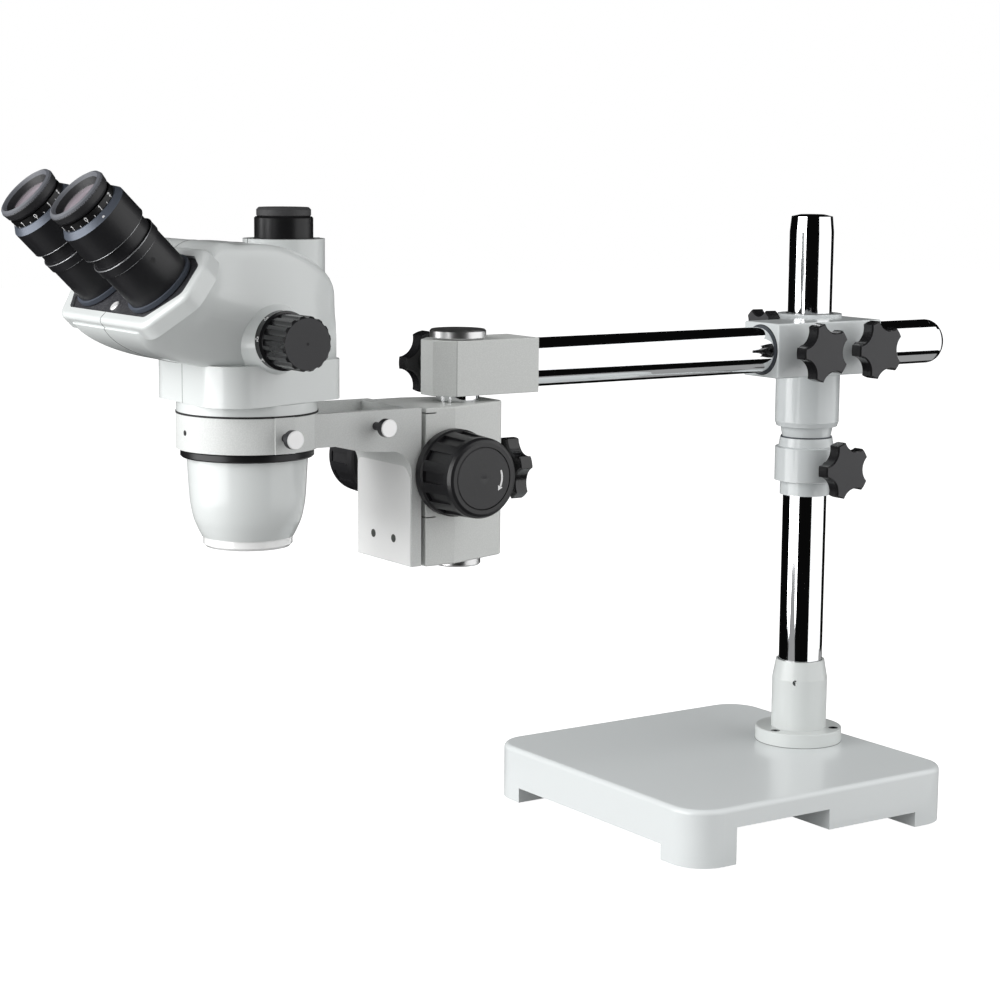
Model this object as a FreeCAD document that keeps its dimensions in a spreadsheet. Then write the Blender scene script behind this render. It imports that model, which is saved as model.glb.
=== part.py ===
import FreeCAD, Part
import math
import os

import Sketcher

# Stereo zoom microscope on a single-arm boom stand.
# Millimetres, +Z up. X runs along the boom, the eyepieces look towards -X, and the
# near side of the object is -Y. Pieces are drawn from the foot of the post's axis and then
# moved together, so that the finished frame starts on the floor under the middle of the box.

doc = FreeCAD.newDocument("boom_microscope")
sheet = doc.addObject("Spreadsheet::Sheet", "Sizes")


class Size:
    """A length that knows its value and the text that gives it in the sheet."""

    def __init__(self, value, text):
        self.value = float(value)
        self.text = text

    def __add__(self, other):
        other = as_size(other)
        return Size(self.value + other.value, "(" + self.text + " + " + other.text + ")")

    def __radd__(self, other):
        return as_size(other) + self

    def __sub__(self, other):
        other = as_size(other)
        return Size(self.value - other.value, "(" + self.text + " - " + other.text + ")")

    def __rsub__(self, other):
        return as_size(other) - self

    def __mul__(self, other):
        other = as_size(other)
        return Size(self.value * other.value, "(" + self.text + " * " + other.text + ")")

    def __rmul__(self, other):
        return as_size(other) * self

    def __truediv__(self, other):
        other = as_size(other)
        return Size(self.value / other.value, "(" + self.text + " / " + other.text + ")")

    def __neg__(self):
        return Size(-self.value, "(0 - " + self.text + ")")


def as_size(number):
    """Return a plain number as a Size, and a Size as it is."""
    if isinstance(number, Size):
        return number
    return Size(number, repr(float(number)))


# Driving dimensions
SIZES = {
    # from the foot of the post to the middle of the overall box
    "frame_shift_x": 266.862,
    "frame_shift_y": 0.0,
    # fits
    "running_gap": 0.05,
    "seat_gap": 0.3,
    # base casting
    "base_length": 238.0,
    "base_width": 241.0,
    "base_corner": 25.0,
    "base_top": 41.0,
    "base_round": 3.5,
    "base_rim_bottom": 12.0,
    "base_recess_top": 24.0,
    "base_recess_wall": 16.0,
    "base_rib": 14.0,
    "foot_side": 36.5,
    "foot_bottom": 1.0,
    "pad_radius": 10.0,
    "pad_height": 3.5,
    "grip_length": 83.2,
    "grip_bottom": 26.7,
    "grip_depth": 46.0,
    "post_inset": 42.0,
    # post and its flange
    "post_radius": 16.0,
    "post_top": 431.2,
    "post_tip_radius": 14.9,
    "post_taper": 11.0,
    "post_crown": 1.4,
    "flange_radius": 32.0,
    "flange_height": 10.4,
    "socket_radius": 20.4,
    "socket_shoulder": 47.6,
    "socket_tip_radius": 17.9,
    "socket_height": 61.5,
    "flange_screw_circle": 26.2,
    "flange_screw_turn": 68.6,
    "cap_screw_radius": 3.4,
    "cap_screw_height": 4.0,
    "cap_screw_shank": 2.0,
    "cap_screw_length": 16.0,
    "key_socket_radius": 1.6,
    "key_socket_depth": 2.2,
    "set_screw_radius": 2.0,
    # safety collar
    "collar_bottom": 226.6,
    "collar_neck_radius": 18.4,
    "collar_neck_height": 9.4,
    "collar_radius": 22.6,
    "collar_height": 25.6,
    "collar_cone_height": 7.2,
    "collar_cone_radius": 19.1,
    # cross block
    "boom_offset": 36.0,
    "boom_height": 338.7,
    "block_left": 76.5,
    "block_right": 20.0,
    "block_half_depth": 18.5,
    "block_half_height": 19.1,
    "block_round": 1.2,
    "sleeve_radius": 23.3,
    "sleeve_bottom": 277.3,
    "sleeve_neck_radius": 19.1,
    "sleeve_neck_height": 8.0,
    "sleeve_crown": 1.8,
    "bush_wall": 1.3,
    "bush_rim": 0.8,
    # star knobs
    "star_radius": 20.5,
    "star_scallop": 11.5,
    "star_scallop_circle": 26.2,
    "star_thickness": 10.0,
    "star_bevel": 0.9,
    "star_hub_radius": 7.5,
    "star_hub_length": 6.0,
    "stud_radius": 4.0,
    "collar_stud_length": 14.0,
    "block_stud_reach": 10.0,
    "sleeve_stud_reach": 5.0,
    "post_knob_rise": 5.5,
    "post_knob_turn": -8.0,
    "arm_knob_left": 54.0,
    "arm_knob_pitch": 51.0,
    # boom arm
    "arm_radius": 16.0,
    "arm_wall": 3.0,
    "arm_left": 280.0,
    "arm_right": 78.0,
    "arm_cap_length": 11.5,
    "spigot_length": 58.0,
    "spigot_seat": 28.0,
    # end block
    "end_block_length": 74.5,
    "end_block_half_width": 18.2,
    "end_block_height": 35.3,
    "end_block_nose": 7.2,
    "end_block_chamfer": 10.8,
    # focus post
    "focus_post_axis": 331.0,
    "focus_post_radius": 13.8,
    "focus_post_bottom": 216.2,
    "top_disc_radius": 18.2,
    "top_disc_height": 6.0,
    "bottom_disc_radius": 15.4,
    "bottom_disc_height": 6.0,
    "disc_round": 1.0,
    # focus housing
    "housing_front": 375.5,
    "housing_crease": 354.0,
    "housing_rear": 306.0,
    "housing_half_width": 32.3,
    "housing_rear_half_width": 16.8,
    "housing_bottom": 216.8,
    "housing_top": 316.8,
    "housing_round": 8.0,
    "housing_slit": 0.8,
    "housing_slit_upper": 313.6,
    "housing_slit_lower": 248.0,
    "housing_slit_depth": 8.0,
    # slide, rack and pinion
    "slide_half_width": 15.0,
    "slide_flare": 2.4,
    "slide_thickness": 9.0,
    "slide_bottom": 222.0,
    "slide_top": 295.0,
    "slide_screw_spread": 11.0,
    "slide_screw_length": 9.5,
    "rack_half_width": 5.0,
    "rack_back": 6.5,
    "tooth_module": 1.0,
    "pinion_teeth": 12.0,
    "pinion_height": 276.0,
    "pinion_half_width": 6.0,
    "shaft_radius": 4.0,
    "bush_radius": 8.0,
    "bush_length": 14.0,
    # focus knobs
    "focus_knob_gap": 1.2,
    "focus_knob_hub": 8.0,
    "focus_knob_hub_radius": 13.0,
    "focus_knob_length": 36.5,
    "focus_knob_band": 6.5,
    "focus_knob_back_radius": 27.6,
    "focus_knob_front_radius": 24.6,
    "focus_knob_lip": 3.0,
    "focus_knob_groove": 1.5,
    "focus_knob_groove_width": 7.0,
    "focus_knob_groove_length": 22.0,
    "focus_knob_ribs": 12.0,
    "tension_cap_radius": 19.4,
    "tension_cap_depth": 2.0,
    "lock_knob_height": 269.5,
    # bracket that carries the head
    "bracket_rear": 379.0,
    "bracket_plate": 7.2,
    "bracket_bottom": 217.6,
    "bracket_top": 317.5,
    "bracket_wall": 6.0,
    "bracket_end_wall": 8.5,
    "bracket_floor": 303.5,
    "bracket_under_ring": 297.0,
    "bracket_under_plate": 291.5,
    "bracket_fillet": 15.0,
    "bracket_hole_radius": 2.8,
    "bracket_hole_height": 233.2,
    "bracket_hole_pitch": 24.2,
    "ring_radius": 43.1,
    "ring_bore": 38.1,
    "ring_bottom": 296.5,
    "ring_top": 318.2,
    "ring_pad_width": 13.5,
    "ring_pad_reach": 43.8,
    "ring_pad_offset": 2.0,
    "ring_set_screw_turn": 142.0,
    "thumb_head_radius": 5.7,
    "thumb_head_length": 5.6,
    "thumb_shank_radius": 2.6,
    "thumb_collar_radius": 3.8,
    "arm_thumb_place": 412.0,
    "arm_thumb_height": 308.0,
    # optical axis and what stands on it
    "optical_axis": 484.0,
    "barrel_radius": 42.8,
    "barrel_top": 325.4,
    "barrel_bore": 33.0,
    "barrel_web": 4.0,
    "barrel_aperture": 17.0,
    "thread_radius": 36.0,
    "keeper_radius": 40.6,
    "keeper_height": 5.0,
    "nose_neck_height": 10.0,
    "keeper_bottom": 291.2,
    "nose_top_radius": 36.9,
    "nose_bottom": 242.2,
    "nose_tip_radius": 28.0,
    "nose_wall": 2.6,
    "lens_ring_radius": 27.2,
    "lens_ring_bottom": 236.0,
    "lens_ring_seat": 25.0,
    "lens_radius": 23.0,
    "lens_thickness": 6.0,
    "lens_sag": 1.6,
    # head
    "skirt_front": 43.6,
    "skirt_rear": 53.0,
    "skirt_front_half_width": 55.7,
    "skirt_rear_half_width": 26.0,
    "skirt_front_corner": 22.0,
    "skirt_rear_corner": 12.0,
    "skirt_top": 350.0,
    "head_wall": 4.0,
    "head_seat": 0.1,
    "plate_low_x": 91.0,
    "plate_low_z": 380.0,
    "plate_low_half_width": 50.0,
    "plate_wide_half_width": 69.0,
    "plate_wide_rise": 20.0,
    "plate_shoulder_half_width": 61.0,
    "plate_shoulder_rise": 41.0,
    "plate_top_half_width": 47.0,
    "plate_top_rise": 47.5,
    "plate_corner": 5.0,
    "plate_thickness": 2.4,
    "plate_ledge": 4.0,
    "bezel_rise": 2.0,
    "bezel_width": 7.0,
    "bezel_depth": 9.0,
    "bezel_round": 3.2,
    "plate_screw_rise": 6.4,
    "column_offset": 26.0,
    "column_radius": 24.9,
    "column_top": 422.2,
    "port_radius": 17.9,
    "port_height": 13.2,
    "port_cap_radius": 16.6,
    "port_cap_height": 5.6,
    "port_bore": 12.0,
    # eyepieces, measured along the tube from the plate
    "tube_spread": 34.5,
    "tube_rise": 24.8,
    "tube_radius": 20.3,
    "tube_bore": 15.05,
    "tube_length": 33.4,
    "tube_flange_radius": 22.0,
    "tube_flange_height": 3.2,
    "tube_collar_radius": 21.0,
    "tube_collar_height": 5.6,
    "pivot_in": 3.0,
    "pivot_down": 7.7,
    "pivot_radius": 8.0,
    "pivot_length": 13.0,
    "eyepiece_barrel_length": 24.0,
    "eyepiece_step_radius": 19.5,
    "eyepiece_step_height": 8.0,
    "eyepiece_radius": 21.4,
    "eyepiece_body_height": 17.0,
    "eyepiece_bevel_height": 3.6,
    "eyepiece_bevel_radius": 18.9,
    "eyepiece_bore": 12.6,
    "dioptre_radius": 18.1,
    "dioptre_height": 3.6,
    "eyecup_radius": 19.0,
    "eyecup_height": 8.4,
    "eyecup_mouth": 15.2,
    "eye_lens_radius": 12.4,
    "eye_lens_thickness": 5.0,
    "eye_lens_depth": 1.8,
    # zoom drive
    "zoom_offset": 4.4,
    "zoom_height": 365.0,
    "zoom_dial_radius": 17.7,
    "zoom_dial_width": 5.0,
    "zoom_knob_radius": 16.2,
    "zoom_knob_face": 82.0,
    "zoom_scallops": 16.0,
    "zoom_scallop_radius": 2.4,
    "zoom_boss_radius": 24.0,
    "zoom_boss_root": 36.0,
    "zoom_boss_face": 50.7,
    "zoom_hole_radius": 0.9,
    "zoom_hole_depth": 2.0,
    "zoom_shaft_radius": 4.0,
    "zoom_shaft_seat": 14.0,
    "guide_radius": 2.0,
    "guide_offset": 22.0,
    "guide_bottom": 268.0,
    "carriage_bottom": 297.5,
    "carriage_thickness": 5.0,
    "carriage_radius": 28.0,
    "carriage_aperture": 14.0,
}

# Cross sections of the head from the bezel to its rear end. Each is a hexagon: its low and
# high ends on the centre plane (x from the optical axis, z) and its half widths at the
# low end, at the widest place and at the high end.
HEAD_SECTIONS = {
    "bezel": (-93.8, 371.5, -50.0, 415.4, 48.0, 71.0, 50.0),
    "hood": (-86.0, 363.5, -42.0, 421.0, 44.0, 65.0, 48.0),
    "throat": (-60.0, 352.5, -30.0, 421.4, 36.0, 52.0, 44.0),
    "saddle": (-15.0, 346.0, -15.0, 420.5, 40.0, 45.0, 41.0),
    "trunk": (20.0, 346.0, 20.0, 415.0, 37.0, 39.0, 32.0),
    "tail": (50.0, 345.0, 50.0, 389.0, 22.0, 22.0, 18.0),
}
for section, values in HEAD_SECTIONS.items():
    for measure, number in zip(("low_x", "low_z", "high_x", "high_z",
                                "low_half_width", "wide_half_width", "high_half_width"), values):
        SIZES[section + "_" + measure] = number

for row, (alias, number) in enumerate(SIZES.items(), start=1):
    sheet.set("A%d" % row, alias)
    sheet.set("B%d" % row, str(number))
    sheet.setAlias("B%d" % row, alias)
doc.recompute()


class SizeTable:
    """Gives each cell of the sheet as a Size under its alias."""

    def __getattr__(self, alias):
        return Size(sheet.get(alias), "Sizes." + alias)


S = SizeTable()
NODES = {}
PLACES = {}


def bind(obj, prop, size):
    """Set a property and tie it to the sheet."""
    size = as_size(size)
    obj.setExpression(prop, size.text)


def place(obj, at, turn=(0.0, 0.0, 0.0)):
    """Put an object at three sizes, turned by yaw, pitch and roll in degrees."""
    rotation = FreeCAD.Rotation(*turn)
    spot = FreeCAD.Vector(*[as_size(value).value for value in at])
    obj.Placement = FreeCAD.Placement(spot, rotation)
    for letter, value in zip("xyz", at):
        bind(obj, ".Placement.Base." + letter, value)
    PLACES[obj.Name] = (at, turn)


def keep(obj, name):
    """Give a finished piece its node name, move it to the frame and list it for export."""
    at, turn = PLACES.get(obj.Name, ((0.0, 0.0, 0.0), (0.0, 0.0, 0.0)))
    place(obj, (S.frame_shift_x + at[0], S.frame_shift_y + at[1], at[2]), turn)
    obj.Label = name
    NODES[name] = obj
    return obj


# Turned directions: the local Z axis of a piece is laid along one of these
UPRIGHT = (0.0, 0.0, 0.0)
TO_NEAR = (0.0, 0.0, 90.0)
TO_FAR = (0.0, 0.0, -90.0)
TO_RIGHT = (0.0, 90.0, 0.0)
TO_LEFT = (0.0, -90.0, 0.0)
TO_EYES = (0.0, -45.0, 0.0)
OFF_LEFT = (SIZES["post_knob_turn"], -90.0, 0.0)


def origin_plane(body, role):
    """Return the body's own origin plane with that role."""
    for feature in body.Origin.OriginFeatures:
        if feature.Role == role:
            return feature
    raise ValueError(role)


def sketch_on(body, name, role, lift=None):
    """Start a sketch on an origin plane, lifted along its normal by a size."""
    sketch = body.newObject("Sketcher::SketchObject", name)
    sketch.AttachmentSupport = (origin_plane(body, role), [""])
    sketch.MapMode = "FlatFace"
    if lift is not None:
        bind(sketch, ".AttachmentOffset.Base.z", lift)
    return sketch


def draw_outline(sketch, points):
    """Draw one more closed outline of straight lines whose corners are tied to the sheet."""
    first = sketch.GeometryCount
    flat = [(as_size(a), as_size(b)) for a, b in points]
    count = len(flat)
    for index, (start_x, start_y) in enumerate(flat):
        end_x, end_y = flat[(index + 1) % count]
        start = FreeCAD.Vector(start_x.value, start_y.value, 0)
        end = FreeCAD.Vector(end_x.value, end_y.value, 0)
        sketch.addGeometry(Part.LineSegment(start, end), False)
    for index in range(count):
        following = first + (index + 1) % count
        sketch.addConstraint(Sketcher.Constraint("Coincident", first + index, 2, following, 1))
    for index, (along, across) in enumerate(flat):
        for kind, size in (("DistanceX", along), ("DistanceY", across)):
            number = sketch.addConstraint(
                Sketcher.Constraint(kind, -1, 1, first + index, 1, size.value))
            sketch.setExpression("Constraints[%d]" % number, size.text)


def draw_circle(sketch, centre, radius):
    """Draw a circle whose centre and radius are tied to the sheet."""
    across, along = as_size(centre[0]), as_size(centre[1])
    radius = as_size(radius)
    middle = FreeCAD.Vector(across.value, along.value, 0)
    index = sketch.addGeometry(Part.Circle(middle, FreeCAD.Vector(0, 0, 1), radius.value), False)
    number = sketch.addConstraint(Sketcher.Constraint("Radius", index, radius.value))
    sketch.setExpression("Constraints[%d]" % number, radius.text)
    for kind, size in (("DistanceX", across), ("DistanceY", along)):
        number = sketch.addConstraint(Sketcher.Constraint(kind, -1, 1, index, 3, size.value))
        sketch.setExpression("Constraints[%d]" % number, size.text)


def new_body(name):
    """Start a body."""
    return doc.addObject("PartDesign::Body", name)


def turned(name, points):
    """Revolve an outline of (radius, height) corners about the local Z axis."""
    body = new_body(name)
    sketch = sketch_on(body, name + "_outline", "XZ_Plane")
    draw_outline(sketch, points)
    spin = body.newObject("PartDesign::Revolution", name + "_turned")
    spin.Profile = sketch
    spin.ReferenceAxis = (sketch, ["V_Axis"])
    spin.Angle = 360.0
    return body


def pad(body, name, sketch, length, backwards=False, midplane=False):
    """Pad a sketch."""
    feature = body.newObject("PartDesign::Pad", name)
    feature.Profile = sketch
    bind(feature, "Length", length)
    feature.Reversed = backwards
    feature.Midplane = midplane
    return feature


def pocket(body, name, sketch, length, backwards=False, midplane=False):
    """Cut a sketch into the body."""
    feature = body.newObject("PartDesign::Pocket", name)
    feature.Profile = sketch
    bind(feature, "Length", length)
    feature.Reversed = backwards
    feature.Midplane = midplane
    return feature


def repeat_round(body, name, features, count):
    """Repeat features about the local Z axis."""
    pattern = body.newObject("PartDesign::PolarPattern", name)
    pattern.Originals = features
    pattern.Axis = (origin_axis(body), [""])
    pattern.Angle = 360.0
    bind(pattern, "Occurrences", count)
    body.Tip = pattern
    return pattern


def origin_axis(body):
    """Return the body's own Z axis."""
    for feature in body.Origin.OriginFeatures:
        if feature.Role == "Z_Axis":
            return feature
    raise ValueError("Z_Axis")


def soften(body, name, radius, wanted, kind="PartDesign::Fillet"):
    """Round or bevel the edges of the body's tip that a test picks."""
    doc.recompute()
    base = body.Tip
    picked = []
    for index, edge in enumerate(base.Shape.Edges, start=1):
        if wanted(edge):
            picked.append("Edge%d" % index)
    if not picked:
        raise ValueError("no edge for " + name)
    feature = body.newObject(kind, name)
    feature.Base = (base, picked)
    bind(feature, "Radius" if kind.endswith("Fillet") else "Size", radius)
    return feature


def cylinder(name, radius, height, at, turn=UPRIGHT):
    """Return a cylinder from its base point along a turned local Z axis."""
    obj = doc.addObject("Part::Cylinder", name)
    bind(obj, "Radius", radius)
    bind(obj, "Height", height)
    place(obj, at, turn)
    return obj


def block(name, sides, at, turn=UPRIGHT):
    """Return a box by its three sides and its lowest corner."""
    obj = doc.addObject("Part::Box", name)
    for prop, side in zip(("Length", "Width", "Height"), sides):
        bind(obj, prop, side)
    place(obj, at, turn)
    return obj


def cone(name, radius_low, radius_high, height, at, turn=UPRIGHT):
    """Return a cone from its base point along a turned local Z axis."""
    obj = doc.addObject("Part::Cone", name)
    bind(obj, "Radius1", radius_low)
    bind(obj, "Radius2", radius_high)
    bind(obj, "Height", height)
    place(obj, at, turn)
    return obj


def fused(name, parts):
    """Join objects into one."""
    obj = doc.addObject("Part::MultiFuse", name)
    obj.Shapes = parts
    return obj


def cut(name, base, tools):
    """Take tools away from a base."""
    obj = doc.addObject("Part::Cut", name)
    obj.Base = base
    obj.Tool = tools[0] if len(tools) == 1 else fused(name + "_tools", tools)
    return obj


def common(name, first, second):
    """Return what two objects share."""
    obj = doc.addObject("Part::MultiCommon", name)
    obj.Shapes = [first, second]
    return obj


def group(name, parts):
    """Keep separate solids together in one node."""
    obj = doc.addObject("Part::Compound", name)
    obj.Links = parts
    return obj


def at_height(edge, height, slack=0.01):
    """Tell whether an edge lies flat at a height."""
    box = edge.BoundBox
    return abs(box.ZMin - height) < slack and abs(box.ZMax - height) < slack


def is_upright(edge, slack=0.01):
    """Tell whether an edge is a straight upright line."""
    box = edge.BoundBox
    return box.XLength < slack and box.YLength < slack and box.ZLength > slack



# Places that several pieces share
YC = -S.boom_offset
XO = -S.optical_axis
XF = -S.focus_post_axis
PITCH_RADIUS = S.tooth_module * S.pinion_teeth / 2.0
RACK_LINE = -S.bracket_rear + S.slide_thickness + S.rack_back
PINION_X = RACK_LINE + PITCH_RADIUS
SADDLE_TOP = S.boom_height + S.block_half_height
SLEEVE_TIP = S.sleeve_bottom - S.sleeve_neck_height
END_BLOCK_BOTTOM = S.boom_height - S.end_block_height / 2.0
END_BLOCK_TOP = S.boom_height + S.end_block_height / 2.0
BARREL_SPIGOT = S.ring_bore - S.running_gap


def make_base():
    """Cast base: a rounded slab on four corner feet, with finger grips and a ribbed underside."""
    left = S.post_inset - S.base_length
    right = S.post_inset
    half = S.base_width / 2.0
    body = new_body("base_casting_body")
    outline = sketch_on(body, "base_outline", "XY_Plane", S.foot_bottom)
    draw_outline(outline, [(left, -half), (right, -half), (right, half), (left, half)])
    body.Tip = pad(body, "base_slab", outline, S.base_top - S.foot_bottom)
    body.Tip = soften(body, "base_corners", S.base_corner, is_upright)
    top = S.base_top.value
    body.Tip = soften(body, "base_top_edge", S.base_round, lambda edge: at_height(edge, top))
    between = sketch_on(body, "base_between_feet", "XY_Plane", S.foot_bottom)
    draw_outline(between, [
        (left + S.foot_side, -half - 1.0), (right - S.foot_side, -half - 1.0),
        (right - S.foot_side, -half + S.foot_side), (right + 1.0, -half + S.foot_side),
        (right + 1.0, half - S.foot_side), (right - S.foot_side, half - S.foot_side),
        (right - S.foot_side, half + 1.0), (left + S.foot_side, half + 1.0),
        (left + S.foot_side, half - S.foot_side), (left - 1.0, half - S.foot_side),
        (left - 1.0, -half + S.foot_side), (left + S.foot_side, -half + S.foot_side),
    ])
    body.Tip = pocket(body, "base_clearance", between, S.base_rim_bottom - S.foot_bottom, True)
    grips = sketch_on(body, "base_grips", "XY_Plane", S.foot_bottom)
    for side in (-1, 1):
        edge = half * side
        inner = edge - S.grip_depth * side
        start = left + S.foot_side
        corners = [(start, edge + side), (start + S.grip_length, edge + side),
                   (start + S.grip_length, inner), (start, inner)]
        draw_outline(grips, corners)
    body.Tip = pocket(body, "base_grip_cuts", grips, S.grip_bottom - S.foot_bottom, True)
    wells = sketch_on(body, "base_wells", "XY_Plane", S.foot_bottom)
    middle = (left + right) / 2.0
    rib = S.base_rib / 2.0
    for near, far in ((-half + S.foot_side, -rib), (rib, half - S.foot_side)):
        for low, high in ((left + S.base_recess_wall, middle - rib),
                          (middle + rib, right - S.foot_side - S.flange_radius)):
            draw_outline(wells, [(low, near), (high, near), (high, far), (low, far)])
    body.Tip = pocket(body, "base_well_cuts", wells, S.base_recess_top - S.foot_bottom, True)
    tools = []
    for index, (across, along) in enumerate(foot_spots()):
        tools.append(cylinder("pad_seat_%d" % index, S.pad_radius + S.running_gap,
                              S.pad_height, (across, along, 0.0)))
    tools.append(cylinder("post_seat", S.post_radius + S.running_gap, S.flange_height,
                          (0.0, 0.0, S.base_top - S.flange_height)))
    for index, (across, along) in enumerate(flange_screw_spots()):
        tools.append(cylinder("base_thread_%d" % index, S.cap_screw_shank + S.running_gap,
                              S.cap_screw_length, (across, along, base_thread_floor())))
    keep(cut("base_casting_cut", body, tools), "base_casting")
    pads = [cylinder("foot_pad_%d" % index, S.pad_radius, S.pad_height, (across, along, 0.0))
            for index, (across, along) in enumerate(foot_spots())]
    keep(group("foot_pads", pads), "rubber_feet")


def foot_spots():
    """Return the middle of each corner foot."""
    left = S.post_inset - S.base_length + S.foot_side / 2.0
    right = S.post_inset - S.foot_side / 2.0
    along = S.base_width / 2.0 - S.foot_side / 2.0
    return [(left, -along), (right, -along), (right, along), (left, along)]


def flange_screw_spots():
    """Return where the three flange screws stand."""
    spots = []
    for index in range(3):
        angle = math.radians(SIZES["flange_screw_turn"] + 120.0 * index)
        spots.append((S.flange_screw_circle * math.cos(angle),
                      S.flange_screw_circle * math.sin(angle)))
    return spots


def flange_screw_seat():
    """Return the height of the face that the flange screws' heads press on."""
    return S.base_top + S.flange_height - S.cap_screw_height


def base_thread_floor():
    """Return the height of the tip of the flange screws."""
    return flange_screw_seat() - S.cap_screw_length


def cap_screw(name, at, turn=UPRIGHT, length=None):
    """Socket-head cap screw whose head starts at a point and whose shank runs back from it."""
    length = S.cap_screw_length if length is None else length
    body = turned(name + "_body", [
        (0.0, -length), (S.cap_screw_shank, -length), (S.cap_screw_shank, 0.0),
        (S.cap_screw_radius, 0.0), (S.cap_screw_radius, S.cap_screw_height),
        (0.0, S.cap_screw_height)])
    key = sketch_on(body, name + "_key", "XY_Plane", S.cap_screw_height - S.key_socket_depth)
    hexagon = [(S.key_socket_radius * math.cos(math.radians(60 * k)),
                S.key_socket_radius * math.sin(math.radians(60 * k))) for k in range(6)]
    draw_outline(key, hexagon)
    body.Tip = pocket(body, name + "_socket", key, S.key_socket_depth, True)
    place(body, at, turn)
    return body


def make_post():
    """Post, its flange with three cap screws, and the set screw in the socket."""
    inner = S.post_radius + S.running_gap
    flange = turned("post_flange_body", [
        (inner, 0.0), (S.flange_radius, 0.0), (S.flange_radius, S.flange_height),
        (S.socket_radius, S.flange_height), (S.socket_radius, S.socket_shoulder),
        (S.socket_tip_radius, S.socket_height), (inner, S.socket_height)])
    edge_height = SIZES["flange_height"]
    outer = SIZES["flange_radius"]
    soften(flange, "flange_rim", as_size(S.disc_round), lambda edge: at_height(edge, edge_height)
           and abs(edge.BoundBox.XMax - outer) < 0.01)
    place(flange, (0.0, 0.0, S.base_top))
    tools = []
    screws = []
    for index, (across, along) in enumerate(flange_screw_spots()):
        tools.append(cylinder("flange_hole_%d" % index, S.cap_screw_shank + S.running_gap,
                              S.flange_height, (across, along, S.base_top)))
        tools.append(cylinder("flange_counterbore_%d" % index,
                              S.cap_screw_radius + S.running_gap, S.cap_screw_height,
                              (across, along, flange_screw_seat())))
        screws.append(cap_screw("flange_screw_%d" % index, (across, along, flange_screw_seat())))
    screw_height = S.base_top + S.socket_shoulder - 1.0
    tools.append(cylinder("socket_thread", S.set_screw_radius + S.running_gap, S.socket_radius,
                          (-S.socket_radius * 0.77, -S.socket_radius * 0.64, screw_height),
                          (50.0, 90.0, 0.0)))
    keep(cut("post_flange_cut", flange, tools), "post_flange")
    keep(group("flange_screw_set", screws), "flange_screws")
    post = turned("post_body", [
        (0.0, S.base_top - S.flange_height), (S.post_radius, S.base_top - S.flange_height),
        (S.post_radius, S.post_top - S.post_crown - S.post_taper),
        (S.post_tip_radius, S.post_top - S.post_crown),
        (S.post_tip_radius * 0.6, S.post_top), (0.0, S.post_top)])
    keep(post, "post")


def star_knob(name, stud_length, at, turn):
    """Five-lobed clamp knob with its moulded-in stud: the stud's tip is at the given point."""
    face = stud_length + S.star_hub_length
    body = turned(name + "_body", [
        (0.0, 0.0), (S.stud_radius - 0.6, 0.0), (S.stud_radius, 0.6), (S.stud_radius, stud_length),
        (S.star_hub_radius, stud_length), (S.star_hub_radius + 1.5, face),
        (S.star_radius, face), (S.star_radius, face + S.star_thickness),
        (0.0, face + S.star_thickness)])
    scallop = sketch_on(body, name + "_scallop", "XY_Plane", face)
    draw_circle(scallop, (S.star_scallop_circle, 0.0), S.star_scallop)
    bite = pocket(body, name + "_bite", scallop, S.star_thickness, True)
    body.Tip = bite
    repeat_round(body, name + "_lobes", [bite], 5)
    high = (face + S.star_thickness).value
    low = face.value
    hub = SIZES["star_hub_radius"] + 2.0

    def on_rim(edge):
        box = edge.BoundBox
        flat = at_height(edge, high) or at_height(edge, low)
        return flat and max(abs(box.XMax), abs(box.XMin), abs(box.YMax), abs(box.YMin)) > hub
    body.Tip = soften(body, name + "_bevel", S.star_bevel, on_rim, "PartDesign::Chamfer")
    place(body, at, turn)
    return body


def make_collar():
    """Safety collar under the cross block, with its clamp knob."""
    bore = S.post_radius + S.running_gap
    top = S.collar_neck_height + S.collar_height
    body = turned("safety_collar_body", [
        (bore, 0.0), (S.collar_neck_radius, 0.0), (S.collar_neck_radius, S.collar_neck_height),
        (S.collar_radius, S.collar_neck_height + 1.2), (S.collar_radius, top),
        (S.collar_cone_radius + 1.1, top + 0.8), (S.collar_cone_radius, top + S.collar_cone_height),
        (bore, top + S.collar_cone_height)])
    place(body, (0.0, 0.0, S.collar_bottom))
    height = collar_knob_height()
    thread = cylinder("collar_thread", S.stud_radius + S.running_gap,
                      S.collar_radius, (0.0, 0.0, height), TO_NEAR)
    keep(cut("safety_collar_cut", body, [thread]), "safety_collar")
    knob = star_knob("collar_knob", S.collar_stud_length,
                     (0.0, -(S.post_radius + S.seat_gap), height), TO_NEAR)
    keep(knob, "collar_knob")


def collar_knob_height():
    """Return the height of the collar's clamp knob."""
    return S.collar_bottom + S.collar_neck_height + S.collar_height / 2.0


def post_bush_radius():
    """Return the outer radius of the liner that slides on the post."""
    return S.post_radius + S.bush_wall


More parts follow.
